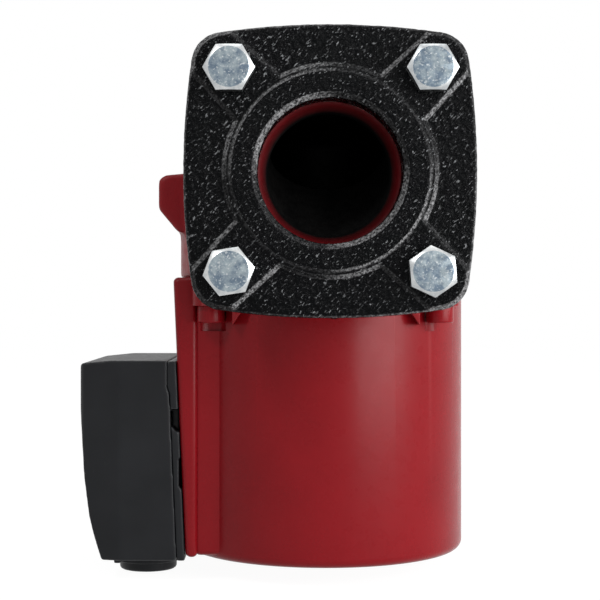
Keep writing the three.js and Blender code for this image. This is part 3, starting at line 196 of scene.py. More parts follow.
def rings_mesh(name, rings, closed=False):
    """A solid through rings of points; the first and last ring are capped, or joined when closed."""
    bm = bmesh.new()
    loops = [[bm.verts.new(point) for point in ring] for ring in rings]
    pairs = list(zip(loops, loops[1:] + ([loops[0]] if closed else [])))
    for lower, upper in pairs:
        count = len(lower)
        for i in range(count):
            j = (i + 1) % count
            bm.faces.new((lower[i], lower[j], upper[j], upper[i]))
    if not closed:
        bm.faces.new(list(reversed(loops[0])))
        bm.faces.new(loops[-1])
    return mesh_object(name, bm)


def ring_points(radius, height, sides, axis, centre):
    points = []
    for i in range(sides):
        turn = TAU * i / sides
        c, s = radius * math.cos(turn), radius * math.sin(turn)
        if axis == "Z":
            points.append((centre[0] + c, centre[1] + s, centre[2] + height))
        elif axis == "Y":
            points.append((centre[0] + c, centre[1] + height, centre[2] + s))
        else:
            points.append((centre[0] + height, centre[1] + c, centre[2] + s))
    return points


def rounded(points, radii, steps=5, closed=False):
    """A polyline whose corners are rounded to the radii given, one for each point."""
    result = []
    count = len(points)
    for i, (x, y) in enumerate(points):
        radius = radii[i]
        if radius <= 0 or (not closed and i in (0, count - 1)):
            result.append((x, y))
            continue
        here = Vector((x, y))
        before = Vector(points[i - 1]) - here
        after = Vector(points[(i + 1) % count]) - here
        angle = before.angle(after)
        reach = radius / math.tan(angle / 2)
        reach = min(reach, before.length * 0.49, after.length * 0.49)
        radius = reach * math.tan(angle / 2)
        start = here + before.normalized() * reach
        end = here + after.normalized() * reach
        halfway = (before.normalized() + after.normalized()).normalized()
        middle = here + halfway * radius / math.sin(angle / 2)
        first = start - middle
        sweep = first.angle_signed(end - middle)
        for step in range(steps + 1):
            share = step / steps
            turned = Matrix.Rotation(-sweep * share, 2) @ first
            result.append(tuple(middle + turned))
    return result


def lathe(name, profile, axis="Z", centre=(0, 0, 0), sides=128, closed=False):
    """A solid of [radius, height] points turned about an axis; a ring when closed."""
    rings = [ring_points(max(r, 0.02), h, sides, axis, centre) for r, h in profile]
    return rings_mesh(name, rings, closed)


def cylinder(name, radius, low, high, axis="Z", centre=(0, 0, 0), sides=96):
    return lathe(name, [(radius, low), (radius, high)], axis, centre, sides)


def prism(name, outline, low, high, axis="Y"):
    """An outline of (x, z), (y, z) or (x, y) points, extruded along Y, X or Z."""
    def point(a, b, h):
        return {"Y": (a, h, b), "X": (h, a, b), "Z": (a, b, h)}[axis]

    return rings_mesh(name, [[point(a, b, h) for a, b in outline] for h in (low, high)])


def box_solid(name, low, high):
    x0, y0, z0 = low
    x1, y1, z1 = high
    return prism(name, [(x0, z0), (x1, z0), (x1, z1), (x0, z1)], y0, y1)


def hull_solid(name, points):
    bm = bmesh.new()
    for point in points:
        bm.verts.new(point)
    made = bmesh.ops.convex_hull(bm, input=bm.verts)
    spare = {g for g in made["geom_interior"] + made["geom_unused"] if isinstance(g, bmesh.types.BMVert)}
    bmesh.ops.delete(bm, geom=list(spare), context="VERTS")
    return mesh_object(name, bm)


def apply_modifiers(piece):
    """Bakes the piece's modifiers into its mesh."""
    graph = bpy.context.evaluated_depsgraph_get()
    mesh = bpy.data.meshes.new_from_object(piece.evaluated_get(graph))
    old = piece.data
    piece.modifiers.clear()
    piece.data = mesh
    bpy.data.meshes.remove(old)
    return piece


def boolean(piece, tools, operation="DIFFERENCE"):
    for tool in tools:
        step = piece.modifiers.new("cut", "BOOLEAN")
        step.object = tool
        step.operation = operation
        step.solver = "EXACT"
        apply_modifiers(piece)
        bpy.data.objects.remove(tool)
    return piece


def union(piece, *others):
    return boolean(piece, others, "UNION")


def bevelled(piece, width, segments=3, angle=35):
    step = piece.modifiers.new("edge", "BEVEL")
    step.width = width * MM
    step.segments = segments
    step.limit_method = "ANGLE"
    step.angle_limit = math.radians(angle)
    return apply_modifiers(piece)


def cast_skin(piece, voxel, smoothing=6):
    """Turns a joined solid into one even skin with soft cast corners."""
    step = piece.modifiers.new("skin", "REMESH")
    step.mode = "VOXEL"
    step.voxel_size = voxel * MM
    soft = piece.modifiers.new("soft", "SMOOTH")
    soft.factor = 0.5
    soft.iterations = smoothing
    return apply_modifiers(piece)


def grained(piece, depth, scale):
    """Moves every vertex along its normal by noise, for a sand-cast surface."""
    mesh = piece.data
    moved = []
    for vertex in mesh.vertices:
        at = vertex.co / (scale * MM)
        height = noise.noise(at) + 0.5 * noise.noise(at * 2.1)
        moved.append(vertex.co + vertex.normal * height * depth * MM)
    for vertex, co in zip(mesh.vertices, moved):
        vertex.co = co
    mesh.update()
    return piece


def smooth(piece, angle=35):
    mesh = piece.data
    for polygon in mesh.polygons:
        polygon.use_smooth = True
    mesh.set_sharp_from_angle(angle=math.radians(angle))
    return piece


def placed_copy(piece, name, matrix):
    twin = bpy.data.objects.new(name, piece.data.copy())
    twin.data.transform(matrix)
    bpy.context.scene.collection.objects.link(twin)
    return twin


def shift_mm(x=0.0, y=0.0, z=0.0):
    return Matrix.Translation((x * MM, y * MM, z * MM))


HALF_TURN = Matrix.Rotation(math.pi, 4, "Z")

# ---- Materials ----


class Nodes:
    """A small helper that builds one material's node tree."""

    def __init__(self, name):
        self.material = bpy.data.materials.new(name)
        self.material.use_nodes = True
        self.tree = self.material.node_tree
        self.shader = self.tree.nodes["Principled BSDF"]
        self.coords = self.add("ShaderNodeTexCoord").outputs["Object"]

    def add(self, kind, **values):
        node = self.tree.nodes.new(kind)
        for key, value in values.items():
            setattr(node, key, value)
        return node

    def link(self, source, target):
        self.tree.links.new(source, target)

    def set(self, **values):
        for key, value in values.items():
            self.shader.inputs[key.replace("_", " ")].default_value = value

    def noise(self, size_mm, detail=3.0, roughness=0.55, stretch=(1, 1, 1), turn_degrees=0):
        """Noise grains of a size, squeezed along the turned axes by the shares given."""
        mapping = self.add("ShaderNodeMapping", vector_type="TEXTURE")
        mapping.inputs["Rotation"].default_value = (0, math.radians(turn_degrees), 0)
        mapping.inputs["Scale"].default_value = [1 / share for share in stretch]
        self.link(self.coords, mapping.inputs["Vector"])
        node = self.add("ShaderNodeTexNoise")
        node.inputs["Scale"].default_value = 1 / (size_mm * MM)
        node.inputs["Detail"].default_value = detail
        node.inputs["Roughness"].default_value = roughness
        self.link(mapping.outputs["Vector"], node.inputs["Vector"])
        return node.outputs["Fac"]

    def cells(self, size_mm):
        node = self.add("ShaderNodeTexVoronoi", feature="F1")
        node.inputs["Scale"].default_value = 1 / (size_mm * MM)
        self.link(self.coords, node.inputs["Vector"])
        return node.outputs["Distance"]

    def ramp(self, value, low, high, start=0.0, end=1.0):
        node = self.add("ShaderNodeMapRange")
        node.inputs["From Min"].default_value = low
        node.inputs["From Max"].default_value = high
        node.inputs["To Min"].default_value = start
        node.inputs["To Max"].default_value = end
        self.link(value, node.inputs["Value"])
        return node.outputs["Result"]

    def mix(self, factor, first, second):
        node = self.add("ShaderNodeMix", data_type="RGBA")
        self.link(factor, node.inputs["Factor"])
        for source, socket in ((first, node.inputs[6]), (second, node.inputs[7])):
            if isinstance(source, tuple):
                socket.default_value = (*source, 1.0)
            else:
                self.link(source, socket)
        return node.outputs[2]

    def math(self, operation, first, second):
        node = self.add("ShaderNodeMath", operation=operation)
        for source, socket in zip((first, second), node.inputs):
            if isinstance(source, (int, float)):
                socket.default_value = source
            else:
                self.link(source, socket)
        return node.outputs[0]

    def convex_edge_mask(self, low=0.52, high=0.6):
        """1 along convex edges, from the mesh's own pointiness; the materials lighten these edges as a
        painted highlight.
        """
        point = self.add("ShaderNodeNewGeometry").outputs["Pointiness"]
        return self.ramp(point, low, high)

    def bump(self, height, depth_mm, strength=1.0, below=None):
        node = self.add("ShaderNodeBump")
        node.inputs["Strength"].default_value = strength
        node.inputs["Distance"].default_value = depth_mm * MM
        self.link(height, node.inputs["Height"])
        if below is not None:
            self.link(below, node.inputs["Normal"])
        return node.outputs["Normal"]

    def finish(self, color, roughness, normal):
        for source, socket in ((color, "Base Color"), (roughness, "Roughness"), (normal, "Normal")):
            self.link(source, self.shader.inputs[socket])
        return self.material


def red_enamel():
    m = Nodes("red_enamel")
    m.set(Specular_IOR_Level=0.14)
    tone = m.mix(m.ramp(m.noise(35, 4), 0.3, 0.7), (0.172, 0.003, 0.006), (0.198, 0.0042, 0.0076))
    specks = m.ramp(m.cells(4.5), 0.035, 0.02)
    dusty = m.mix(m.math("MULTIPLY", specks, m.ramp(m.noise(14), 0.52, 0.6)), tone, (0.45, 0.24, 0.22))
    # Lighter red along convex edges: a painted edge highlight.
    highlit_tone = m.mix(m.math("MULTIPLY", m.convex_edge_mask(0.535, 0.6), 0.3), dusty, (0.42, 0.1, 0.1))
    peel = m.bump(m.noise(1.6, 2), 0.03, 0.5)
    waves = m.bump(m.noise(9, 2), 0.05, 0.35, peel)
    return m.finish(highlit_tone, m.ramp(m.noise(6, 4), 0.3, 0.7, 0.25, 0.32), waves)


def cast_red_enamel():
    m = Nodes("cast_red_enamel")
    m.set(Specular_IOR_Level=0.16)
    tone = m.mix(m.ramp(m.noise(22, 4), 0.3, 0.7), (0.19, 0.004, 0.008), (0.225, 0.006, 0.01))
    # Lighter red along convex edges: a painted edge highlight.
    highlit_tone = m.mix(m.math("MULTIPLY", m.convex_edge_mask(), 0.3), tone, (0.4, 0.09, 0.09))
    sand = m.bump(m.noise(1.1, 3), 0.12, 0.7)
    lumps = m.bump(m.noise(5, 3), 0.25, 0.5, sand)
    return m.finish(highlit_tone, m.ramp(m.noise(4, 4), 0.3, 0.7, 0.36, 0.5), lumps)


def black_cast():
    """Gloss black paint on rough iron, with painted glints, and a painted highlight that lightens its
    sloping steps, most of all those turned up-left or down-right.
    """
    m = Nodes("black_cast")
    m.set(Specular_IOR_Level=0.05)
    normal = m.add("ShaderNodeSeparateXYZ")
    m.link(m.add("ShaderNodeTexCoord").outputs["Normal"], normal.inputs[0])
    x, y, z = normal.outputs
    facing = m.math("ABSOLUTE", y, 0)
    # Painted highlight: sloping faces, most of all those turned towards the upper left or lower right,
    # are lightened, broken up by noise.
    slope = m.math("MULTIPLY", m.ramp(facing, 0.95, 0.82), m.ramp(facing, 0.3, 0.45))
    diagonal = m.ramp(m.math("MULTIPLY", x, z), 0.04, -0.1, 0.14, 1.0)
    highlight_breakup = m.ramp(m.noise(1.0, 3, 0.65), 0.4, 0.66, 0.06, 1.0)
    painted_slope_highlight = m.math("MULTIPLY", m.math("MULTIPLY", slope, diagonal), highlight_breakup)
    grain = m.noise(1.9, 2, 0.6, (1, 1, 2.2), -45)
    # Painted glints: light grey flecks along the grain, in place of lamp light caught by the bumps.
    painted_glints = m.math("MULTIPLY", m.ramp(grain, 0.61, 0.68), m.ramp(m.noise(3.2, 2), 0.4, 0.6, 0.15, 1.0))
    tone = m.mix(painted_glints, (0.0008, 0.001, 0.0013), (0.17, 0.175, 0.18))
    highlit_tone = m.mix(painted_slope_highlight, tone, (0.27, 0.27, 0.275))
    coarse = m.bump(m.noise(2.4, 3, 0.6), 0.9, 1.0)
    fine = m.bump(grain, 0.6, 1.0, coarse)
    return m.finish(highlit_tone, m.ramp(m.noise(1.1, 3), 0.35, 0.65, 0.14, 0.32), fine)


def zinc(name="zinc", dark=(0.13, 0.172, 0.22), light=(0.3, 0.35, 0.375)):
    m = Nodes(name)
    m.set(Metallic=1.0)
    cloud = m.mix(m.ramp(m.noise(4.5, 4, 0.65), 0.4, 0.6), dark, light)
    spots = m.mix(m.ramp(m.noise(0.9, 3), 0.57, 0.68), cloud, (0.5, 0.53, 0.54))
    brushed = m.bump(m.noise(0.5, 3, 0.6, (0.25, 1, 1)), 0.016, 0.7)
    dents = m.bump(m.noise(2.4, 2), 0.06, 0.45, brushed)
    return m.finish(spots, m.ramp(m.noise(2.2, 4), 0.3, 0.7, 0.26, 0.42), dents)


def black_plastic():
    m = Nodes("black_plastic")
    m.set(Specular_IOR_Level=0.17)
    tone = m.mix(m.ramp(m.noise(26, 4), 0.3, 0.7), (0.006, 0.0066, 0.0078), (0.0095, 0.0102, 0.0118))
    scuffs = m.ramp(m.noise(1.0, 2, 0.5, (1, 1, 0.12)), 0.75, 0.82)
    marked = m.mix(m.math("MULTIPLY", scuffs, 0.25), tone, (0.1, 0.105, 0.11))
    # Lighter grey along convex edges: a painted edge highlight.
    edge_highlit = m.mix(m.math("MULTIPLY", m.convex_edge_mask(0.53, 0.6), 0.55), marked, (0.1, 0.105, 0.11))
    grain = m.bump(m.noise(0.55, 2), 0.035, 0.7)
    return m.finish(edge_highlit, m.ramp(m.noise(3, 3), 0.3, 0.7, 0.38, 0.5), grain)


def plain_metal(name, dark, light, low, high, turning=(1, 1, 1)):
    m = Nodes(name)
    m.set(Metallic=1.0)
    tone = m.mix(m.ramp(m.noise(7, 4), 0.3, 0.7), dark, light)
    brushed = m.bump(m.noise(0.4, 2, 0.5, turning), 0.012, 0.5)
    return m.finish(tone, m.ramp(m.noise(2.5, 3, 0.5, turning), 0.3, 0.7, low, high), brushed)


def copper_wire():
    m = Nodes("copper_wire")
    m.set(Metallic=0.8, Coat_Weight=0.5, Coat_Roughness=0.2)
    strands = m.noise(0.9, 2, 0.5, (0.3, 0.3, 1))
    tone = m.mix(m.ramp(strands, 0.35, 0.65), (0.24, 0.05, 0.012), (0.5, 0.14, 0.04))
    return m.finish(tone, m.ramp(strands, 0.3, 0.7, 0.3, 0.5), m.bump(strands, 0.3, 0.9))


def plain_matt(name, dark, light, size, depth, low, high):
    """A dielectric with cloudy tone and fine moulded or ground grain."""
    m = Nodes(name)
    tone = m.mix(m.ramp(m.noise(size * 8, 4), 0.3, 0.7), dark, light)
    roughness = m.ramp(m.noise(size * 3, 3), 0.3, 0.7, low, high)
    return m.finish(tone, roughness, m.bump(m.noise(size, 3), depth, 0.7))


RED = red_enamel()
CAST_RED = cast_red_enamel()
BLACK_CAST = black_cast()
ZINC = zinc()
# Lighter zinc for the bolt heads' chamfers: a painted highlight.
ZINC_CHAMFER_HIGHLIGHT = zinc("zinc_chamfer_highlight", (0.42, 0.44, 0.45), (0.58, 0.59, 0.59))
PLASTIC = black_plastic()
STAINLESS = plain_metal("stainless", (0.42, 0.42, 0.42), (0.58, 0.58, 0.57), 0.22, 0.36, (1, 1, 0.1))
BRASS = plain_metal("vent_brass", (0.28, 0.15, 0.045), (0.42, 0.24, 0.08), 0.25, 0.42)
LAMINATION = plain_metal("lamination", (0.1, 0.105, 0.11), (0.2, 0.21, 0.22), 0.4, 0.6, (0.1, 0.1, 2))
COPPER = copper_wire()
CERAMIC = plain_matt("ceramic", (0.7, 0.66, 0.58), (0.82, 0.79, 0.72), 0.6, 0.01, 0.25, 0.4)
FIBRE = plain_matt("gasket_fibre", (0.08, 0.085, 0.075), (0.15, 0.155, 0.14), 0.5, 0.08, 0.75, 0.95)
RUBBER = plain_matt("black_rubber", (0.008, 0.008, 0.009), (0.016, 0.016, 0.017), 0.4, 0.03, 0.65, 0.85)
WHITE = plain_matt("white_plastic", (0.6, 0.6, 0.55), (0.7, 0.7, 0.66), 0.5, 0.02, 0.35, 0.5)


def dress(piece, material, body, replaces=()):
    """Gives a finished piece its material and the body it rides on, and hides the CAD nodes it stands in
    for.
    """
    piece.data.materials.clear()
    piece.data.materials.append(material)
    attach(piece, body)
    if replaces:
        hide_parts(*replaces)
    return piece


def paint_faces(piece, material, indices):
    """Gives some faces of a finished piece a second material."""
    if not indices:
        return
    piece.data.materials.append(material)
    for index in indices:
        piece.data.polygons[index].material_index = 1


# ---- Outlines ----


def arc(centre, radius, start, end, steps):
    points = []
    for step in range(steps + 1):
        turn = start + (end - start) * step / steps
        points.append((centre[0] + radius * math.cos(turn), centre[1] + radius * math.sin(turn)))
    return points


def bulged_square(half, corner_radius, steps=14):
    """A square whose sides bulge, with tangent round corners."""
    side_centre = half - SIDE_RADIUS
    reach = SIDE_RADIUS - corner_radius
    corner = (side_centre + math.sqrt(2 * reach**2 - side_centre**2)) / 2
    spread = math.asin(corner / reach)
    points = []
    for side in range(4):
        turn = side * math.pi / 2
        c, s = math.cos(turn), math.sin(turn)
        bulge = (side_centre * c, side_centre * s)
        round_centre = (corner * (c - s), corner * (s + c))
        points += arc(bulge, SIDE_RADIUS, turn - spread, turn + spread, steps)[:-1]
        points += arc(round_centre, corner_radius, turn + spread, turn + math.pi / 2 - spread, steps)[:-1]
    return points


def hexagon(turn_degrees=0.0):
    radius = ACROSS_FLATS / math.sqrt(3)
    turns = [math.radians(turn_degrees + 60 * i) for i in range(6)]
    return [(radius * math.cos(t), radius * math.sin(t)) for t in turns]


def ring_y(radius, y, z=0.0, height=None, sides=64):
    """A ring round the Y axis, or an ellipse when its half height is given."""
    tall = radius if height is None else height
    turns = [TAU * i / sides for i in range(sides)]
    return [(radius * math.cos(t), y, z + tall * math.sin(t)) for t in turns]


def ring_z(radius, z, x=0.0, y=0.0, sides=64):
    turns = [TAU * i / sides for i in range(sides)]
    return [(x + radius * math.cos(t), y + radius * math.sin(t), z) for t in turns]


def bolt_places():
    return [(i * BOLT_OFFSET, j * BOLT_OFFSET) for i, j in CORNERS]


# ---- Companion flanges ----


def flange_strip(i, j):
    """One raised strip from the hub to a corner, tapering outwards, with sloping sides."""
    near, far, wide, narrow = 20.0, BOLT_OFFSET * math.sqrt(2) + 20.5, 13.2, 10.2
    along = Vector((i, j)).normalized()
    across = Vector((-along.y, along.x))
    points = []
    for y, slope in ((STRIP_FRONT, 0.0), (PLATE_FRONT, 1.9), (PLATE_FRONT + 2, 1.9)):
        for distance, half in ((near, wide + slope), (far, narrow + slope)):
            for side in (-1, 1):
                place = along * distance + across * half * side
                points.append((place.x, y, place.y))
    return hull_solid("strip", points)


def companion_flange(name):
    """A companion flange with its hub, corner strips, casting nub, mouth and bolt holes."""
    plan = bulged_square(FLANGE_HALF, CORNER_RADIUS)
    plate = bevelled(prism(name, plan, PLATE_FRONT, FLANGE_SEAT), FLANGE_EDGE, 4)
    inner_plan = bulged_square(FLANGE_HALF - FLANGE_EDGE, CORNER_RADIUS - 1)
    inside = prism("inside", inner_plan, STRIP_FRONT - 1, FLANGE_SEAT)
    strips = union(*[flange_strip(i, j) for i, j in CORNERS])
    boolean(strips, [inside], "INTERSECT")
    hub_profile = [
        (1, HUB_FRONT),
        (HUB_RADIUS, HUB_FRONT),
        (HUB_RADIUS + 1.2, HUB_FRONT + 1.3),
        (HUB_RADIUS + 2.5, HUB_FRONT + 1.4),
        (HUB_FOOT_RADIUS, PLATE_FRONT),
        (1, PLATE_FRONT + 3),
    ]
    hub = lathe("hub", hub_profile, "Y")
    mouth_profile = [
        (SOCKET_RADIUS + 2.6, HUB_FRONT - 2),
        (SOCKET_RADIUS + 2.4, HUB_FRONT),
        (SOCKET_RADIUS, HUB_FRONT + 2.4),
        (SOCKET_RADIUS, FLANGE_SEAT + 2),
    ]
    nub_profile = [(0.1, -3), (3.4, -2), (4.2, 0), (3.4, 2), (0.1, 3)]
    nub = lathe("nub", nub_profile, "Y", (1.5, FLANGE_SEAT - 7, -58.4), 24)
    union(plate, strips, hub, nub)
    holes = [
        cylinder("hole", BOLT_HOLE_RADIUS, HUB_FRONT - 2, FLANGE_SEAT + 2, "Y", (x, 0, z), 48)
        for x, z in bolt_places()
    ]
    boolean(plate, [lathe("mouth", mouth_profile, "Y"), *holes])
    cast_skin(plate, 0.65, 2)
    grained(plate, 0.12, 2.4)
    return smooth(plate, 60)


def gasket(name):
    profile = [
        (SOCKET_RADIUS + 0.3, FLANGE_SEAT + 0.05),
        (GASKET_RADIUS, FLANGE_SEAT + 0.05),
        (GASKET_RADIUS, PORT_FACE - 0.05),
        (SOCKET_RADIUS + 0.3, PORT_FACE - 0.05),
    ]
    return smooth(lathe(name, rounded(profile, [0.4] * 4, 3, True), "Y", closed=True), 40)


def thread_profile(low, high, radius, pitch=1.75, depth=0.9):
    """Ridges along a rod from low to high, as [radius, height] points."""
    points = []
    count = int((high - low) / pitch)
    for i in range(count):
        foot = low + i * pitch
        points += [(radius - depth, foot), (radius, foot + pitch * 0.42), (radius, foot + pitch * 0.58)]
    return points


def flange_bolt(name, turn):
    """A hexagon bolt on the Y axis, with a chamfered head and a threaded end."""
    head_top = STRIP_FRONT - BOLT_HEAD_HEIGHT
    end = BOLT_HIGH[1]
    head = prism(name, hexagon(turn), head_top, STRIP_FRONT - 0.6)
    flat = ACROSS_FLATS / 2
    face = flat - 1.05
    cone = [(1, head_top), (face, head_top)]
    cone += [(flat + 2.4, head_top + HEAD_CHAMFER), (flat + 2.4, STRIP_FRONT)]
    envelope = lathe("envelope", cone, "Y")
    boolean(head, [envelope], "INTERSECT")
    bevelled(head, 0.22, 2, 25)
    washer = cylinder("washer", flat - 0.3, STRIP_FRONT - 0.8, STRIP_FRONT, "Y")
    rod = [(BOLT_RADIUS - 0.05, STRIP_FRONT - 2), (BOLT_RADIUS - 0.05, PORT_BACK - 18)]
    rod += thread_profile(PORT_BACK - 17.5, end - 1.2, BOLT_RADIUS - 0.1)
    rod += [(BOLT_RADIUS - 1.2, end)]
    union(head, washer, lathe("rod", rod, "Y", sides=40))
    return smooth(head, 30)


def chamfer_faces(bolt):
    """Indices of the faces outside the round top of a bolt head, where the chamfer gets a painted
    highlight.
    """
    below = STRIP_FRONT - BOLT_HEAD_HEIGHT + HEAD_CHAMFER + 0.2
    radius = ACROSS_FLATS / 2 - 0.9
    found = []
    for polygon in bolt.data.polygons:
        x, y, z = (v / MM for v in polygon.center)
        if y < below and math.hypot(x, z) > radius:
            found.append(polygon.index)
    return found


def flange_nut(name):
    """A hexagon nut on the Y axis, chamfered at both ends."""
    low, high = NUT_LOW[1], NUT_HIGH[1]
    body = prism(name, hexagon(), low, high)
    flat = ACROSS_FLATS / 2
    barrel = [(1, low), (flat - 0.2, low), (flat + 1.9, low + 1.3)]
    barrel += [(flat + 1.9, high - 1.3), (flat - 0.2, high), (1, high)]
    boolean(body, [lathe("barrel", barrel, "Y")], "INTERSECT")
    boolean(body, [cylinder("bore", BOLT_RADIUS + 0.15, low - 1, high + 1, "Y", sides=40)])
    return smooth(bevelled(body, 0.25, 2, 20), 30)


def flange_set():
    """The inlet's flange, gasket, bolts and nuts, and the same set turned round for the outlet."""
    made = {
        "flange": (companion_flange("flange_master"), BLACK_CAST, "black_paint"),
        "gasket": (gasket("gasket_master"), FIBRE, "gasket_fibre"),
    }
    highlit_chamfers = {}
    for index, (x, z) in enumerate(bolt_places(), start=1):
        bolt = flange_bolt(f"bolt_master_{index}", HEAD_TURNS[index - 1])
        highlit_chamfers[f"bolt_{index}"] = chamfer_faces(bolt)
        bolt.data.transform(shift_mm(x=x, z=z))
        nut = flange_nut(f"nut_master_{index}")
        nut.data.transform(shift_mm(x=x, z=z))
        made[f"bolt_{index}"] = (bolt, ZINC, "zinc_steel")
        made[f"nut_{index}"] = (nut, ZINC, "zinc_steel")
    for end, matrix in (("inlet", Matrix.Identity(4)), ("outlet", HALF_TURN)):
        for part, (master, material, slot) in made.items():
            piece = placed_copy(master, f"{end}_{part}_look", matrix)
            dress(piece, material, "pump", [f"{end}_{part}"])
            # The chamfers get the lighter zinc as a painted highlight.
            paint_faces(piece, ZINC_CHAMFER_HIGHLIGHT, highlit_chamfers.get(part, ()))
    for master, _, _ in made.values():
        bpy.data.objects.remove(master)


# ---- Pump housing ----


def duct_shells():
    """The outside of both ducts: the inlet's with its dome, and the outlet's."""
    neck = PORT_BORE_RADIUS + 8
    dome = neck - 0.5
    back = abs(PORT_BACK)
    inlet = ring_y(neck, -back) + ring_z(dome, -4) + ring_z(dome, DOME_TOP_Z - 9)
    inlet += ring_z(dome - 2.6, DOME_TOP_Z - 2.6) + ring_z(dome - 9, DOME_TOP_Z)
    outlet = ring_y(neck, back)
    outlet += ring_z(18, JOINT_Z + 4, -54, 20) + ring_z(20, -12, -54, 20) + ring_z(14, -4, -50, 20)
    return [hull_solid("inlet_duct", inlet), hull_solid("outlet_duct", outlet)]


def duct_cores():
    """The water passage, as solids to cut away."""
    bore = PORT_BORE_RADIUS
    face, back = abs(PORT_FACE), abs(PORT_BACK)
    front = cylinder("front", bore, -face - 1, -back + 1, "Y", sides=128)
    ramp = ring_y(bore, -68, z=15, height=19)
    entry = hull_solid("entry", ring_y(bore, -back) + ramp)
    eye = hull_solid("eye", ramp + ring_z(bore, -4) + ring_z(bore, 26) + ring_z(bore - 8, 34))
    rear = cylinder("rear", bore, back - 6, face + 1, "Y", sides=128)
    throat = [(x, y, z) for x in (-66, -34) for y in (8, 16) for z in (JOINT_Z + 7, -15)]
    out = hull_solid("out", ring_y(bore, back - 5) + throat)
    drop = cylinder("drop", 26.0, -20, 0)
    chamber = cylinder("chamber", CHAMBER_RADIUS, JOINT_Z - 2, CHAMBER_TOP_Z)
    lip_profile = [
        (PORT_LIP_RADIUS + 0.1, face + 0.2),
        (PORT_LIP_RADIUS, face),
        (bore, face - PORT_LIP_DEPTH),
        (bore - 1, face - PORT_LIP_DEPTH - 3),
    ]
    mouths = [lathe("mouth", [(r, side * y) for r, y in lip_profile], "Y") for side in (-1, 1)]
    return [front, entry, eye, rear, out, drop, chamber, *mouths]


def throat_lug():
    foot = -VOLUTE_RADIUS + 14
    outline = [(foot, LUG_BOTTOM_Z), (-VOLUTE_RADIUS, LUG_BOTTOM_Z), (LUG_X, LUG_SHOULDER_Z)]
    outline += [(LUG_X, LUG_EDGE_Z), (LUG_X + 3, LUG_TOP_Z), (foot, LUG_TOP_Z + 2)]
    return prism("lug", rounded(outline, [0, 2, 1.2, 1.6, 1.6, 0]), LUG_FRONT_Y, LUG_REAR_Y)


def ear_solids(low, high):
    """The four screw ears, blended to the round body."""
    solids = []
    for i, j in CORNERS:
        x, y = i * SCREW_OFFSET, j * SCREW_OFFSET
        turn = math.atan2(j, i)
        points = ring_z(EAR_RADIUS, low, x, y, 48) + ring_z(EAR_RADIUS, high, x, y, 48)
        for side in (-0.32, 0.32):
            for radius in (MOTOR_RADIUS - 0.2, MOTOR_RADIUS - 8):
                px, py = radius * math.cos(turn + side), radius * math.sin(turn + side)
                points += [(px, py, low), (px, py, high)]
        solids.append(hull_solid("ear", points))
    return solids


def near_surface(piece, core, reach_mm):
    """Indices of the piece's faces that lie on the core's surface."""
    tree = BVHTree.FromObject(core, bpy.context.evaluated_depsgraph_get())
    found = []
    for polygon in piece.data.polygons:
        hit = tree.find_nearest(polygon.center, reach_mm * MM)
        if hit[0] is not None:
            found.append(polygon.index)
    return found


def bore_paint_and_shade():
    """Red paint at the mouth of both ports, darkened and fading to near black deeper in: painted shade
    inside the bore.
    """
    m = Nodes("bore_paint_and_shade")
    m.set(Specular_IOR_Level=0.12)
    place = m.add("ShaderNodeSeparateXYZ")
    m.link(m.coords, place.inputs[0])
    face = abs(PORT_FACE) * MM
    # Painted shade: the colour fades from the mouth's red to near black within a few millimetres.
    depth = m.ramp(m.math("ABSOLUTE", place.outputs[1], 0), face - 6.2 * MM, face - 1.5 * MM)
    painted_bore_shade = m.mix(m.ramp(m.noise(12, 4), 0.3, 0.7), (0.0012, 0.0012, 0.0013), (0.004, 0.0038, 0.0037))
    # The red at the mouth is darkened as painted shade.
    paint = m.mix(m.ramp(m.noise(9, 3), 0.3, 0.7), (0.06, 0.001, 0.0022), (0.082, 0.0016, 0.003))
    tone = m.mix(depth, painted_bore_shade, paint)
    roughness = m.ramp(m.noise(3, 3), 0.3, 0.7, 0.5, 0.7)
    return m.finish(tone, roughness, m.bump(m.noise(1.5, 3), 0.15, 0.7))


def pump_housing():
    face, back = abs(PORT_FACE), abs(PORT_BACK)
    volute_profile = [(1, JOINT_Z), (VOLUTE_RADIUS, JOINT_Z)]
    volute_profile += [(VOLUTE_RADIUS, VOLUTE_TOP_Z), (1, VOLUTE_TOP_Z)]
    housing = lathe("pump_housing_look", rounded(volute_profile, [0, 0.8, 9, 0], 8))
    outline = bulged_square(FLANGE_HALF - 1, CORNER_RADIUS)
    flanges = [
        bevelled(prism("own_flange", outline, low, high), 1.4, 3)
        for low, high in ((-face, -back), (back, face))
    ]
    ears = ear_solids(JOINT_Z, JOINT_Z + HOUSING_EAR_HEIGHT)
    union(housing, *flanges, *duct_shells(), throat_lug(), *ears)
    bolt_holes = [
        cylinder("hole", BOLT_HOLE_RADIUS, low, high, "Y", (x, 0, z), 32)
        for x, z in bolt_places()
        for low, high in ((-face - 1, -back + 1), (back - 1, face + 1))
    ]
    boolean(housing, duct_cores() + bolt_holes)
    cast_skin(housing, 1.15, 9)
    core = union(*duct_cores())
    passage = near_surface(housing, core, 1.0)
    bpy.data.objects.remove(core)
    dress(smooth(housing, 60), CAST_RED, "pump", ["pump_housing"])
    paint_faces(housing, bore_paint_and_shade(), passage)


# ---- Motor ----


def plate_face_x(z):
    """X of the plate's sloping outer face at a height."""
    share = (JOINT_Z - z) / (JOINT_Z - PLATE_BOTTOM_Z)
    return PLATE_TOP_X + share * (PLATE_BOTTOM_X - PLATE_TOP_X)


def terminal_plate():
    outline = [(PLATE_TOP_X, JOINT_Z - 0.1), (PLATE_BOTTOM_X, PLATE_BOTTOM_Z)]
    outline += [(PAD_X, PLATE_BOTTOM_Z), (PAD_X, JOINT_Z - 0.1)]
    return bevelled(prism("plate", outline, -PLATE_HALF_WIDTH, PLATE_HALF_WIDTH), 2.5, 6)


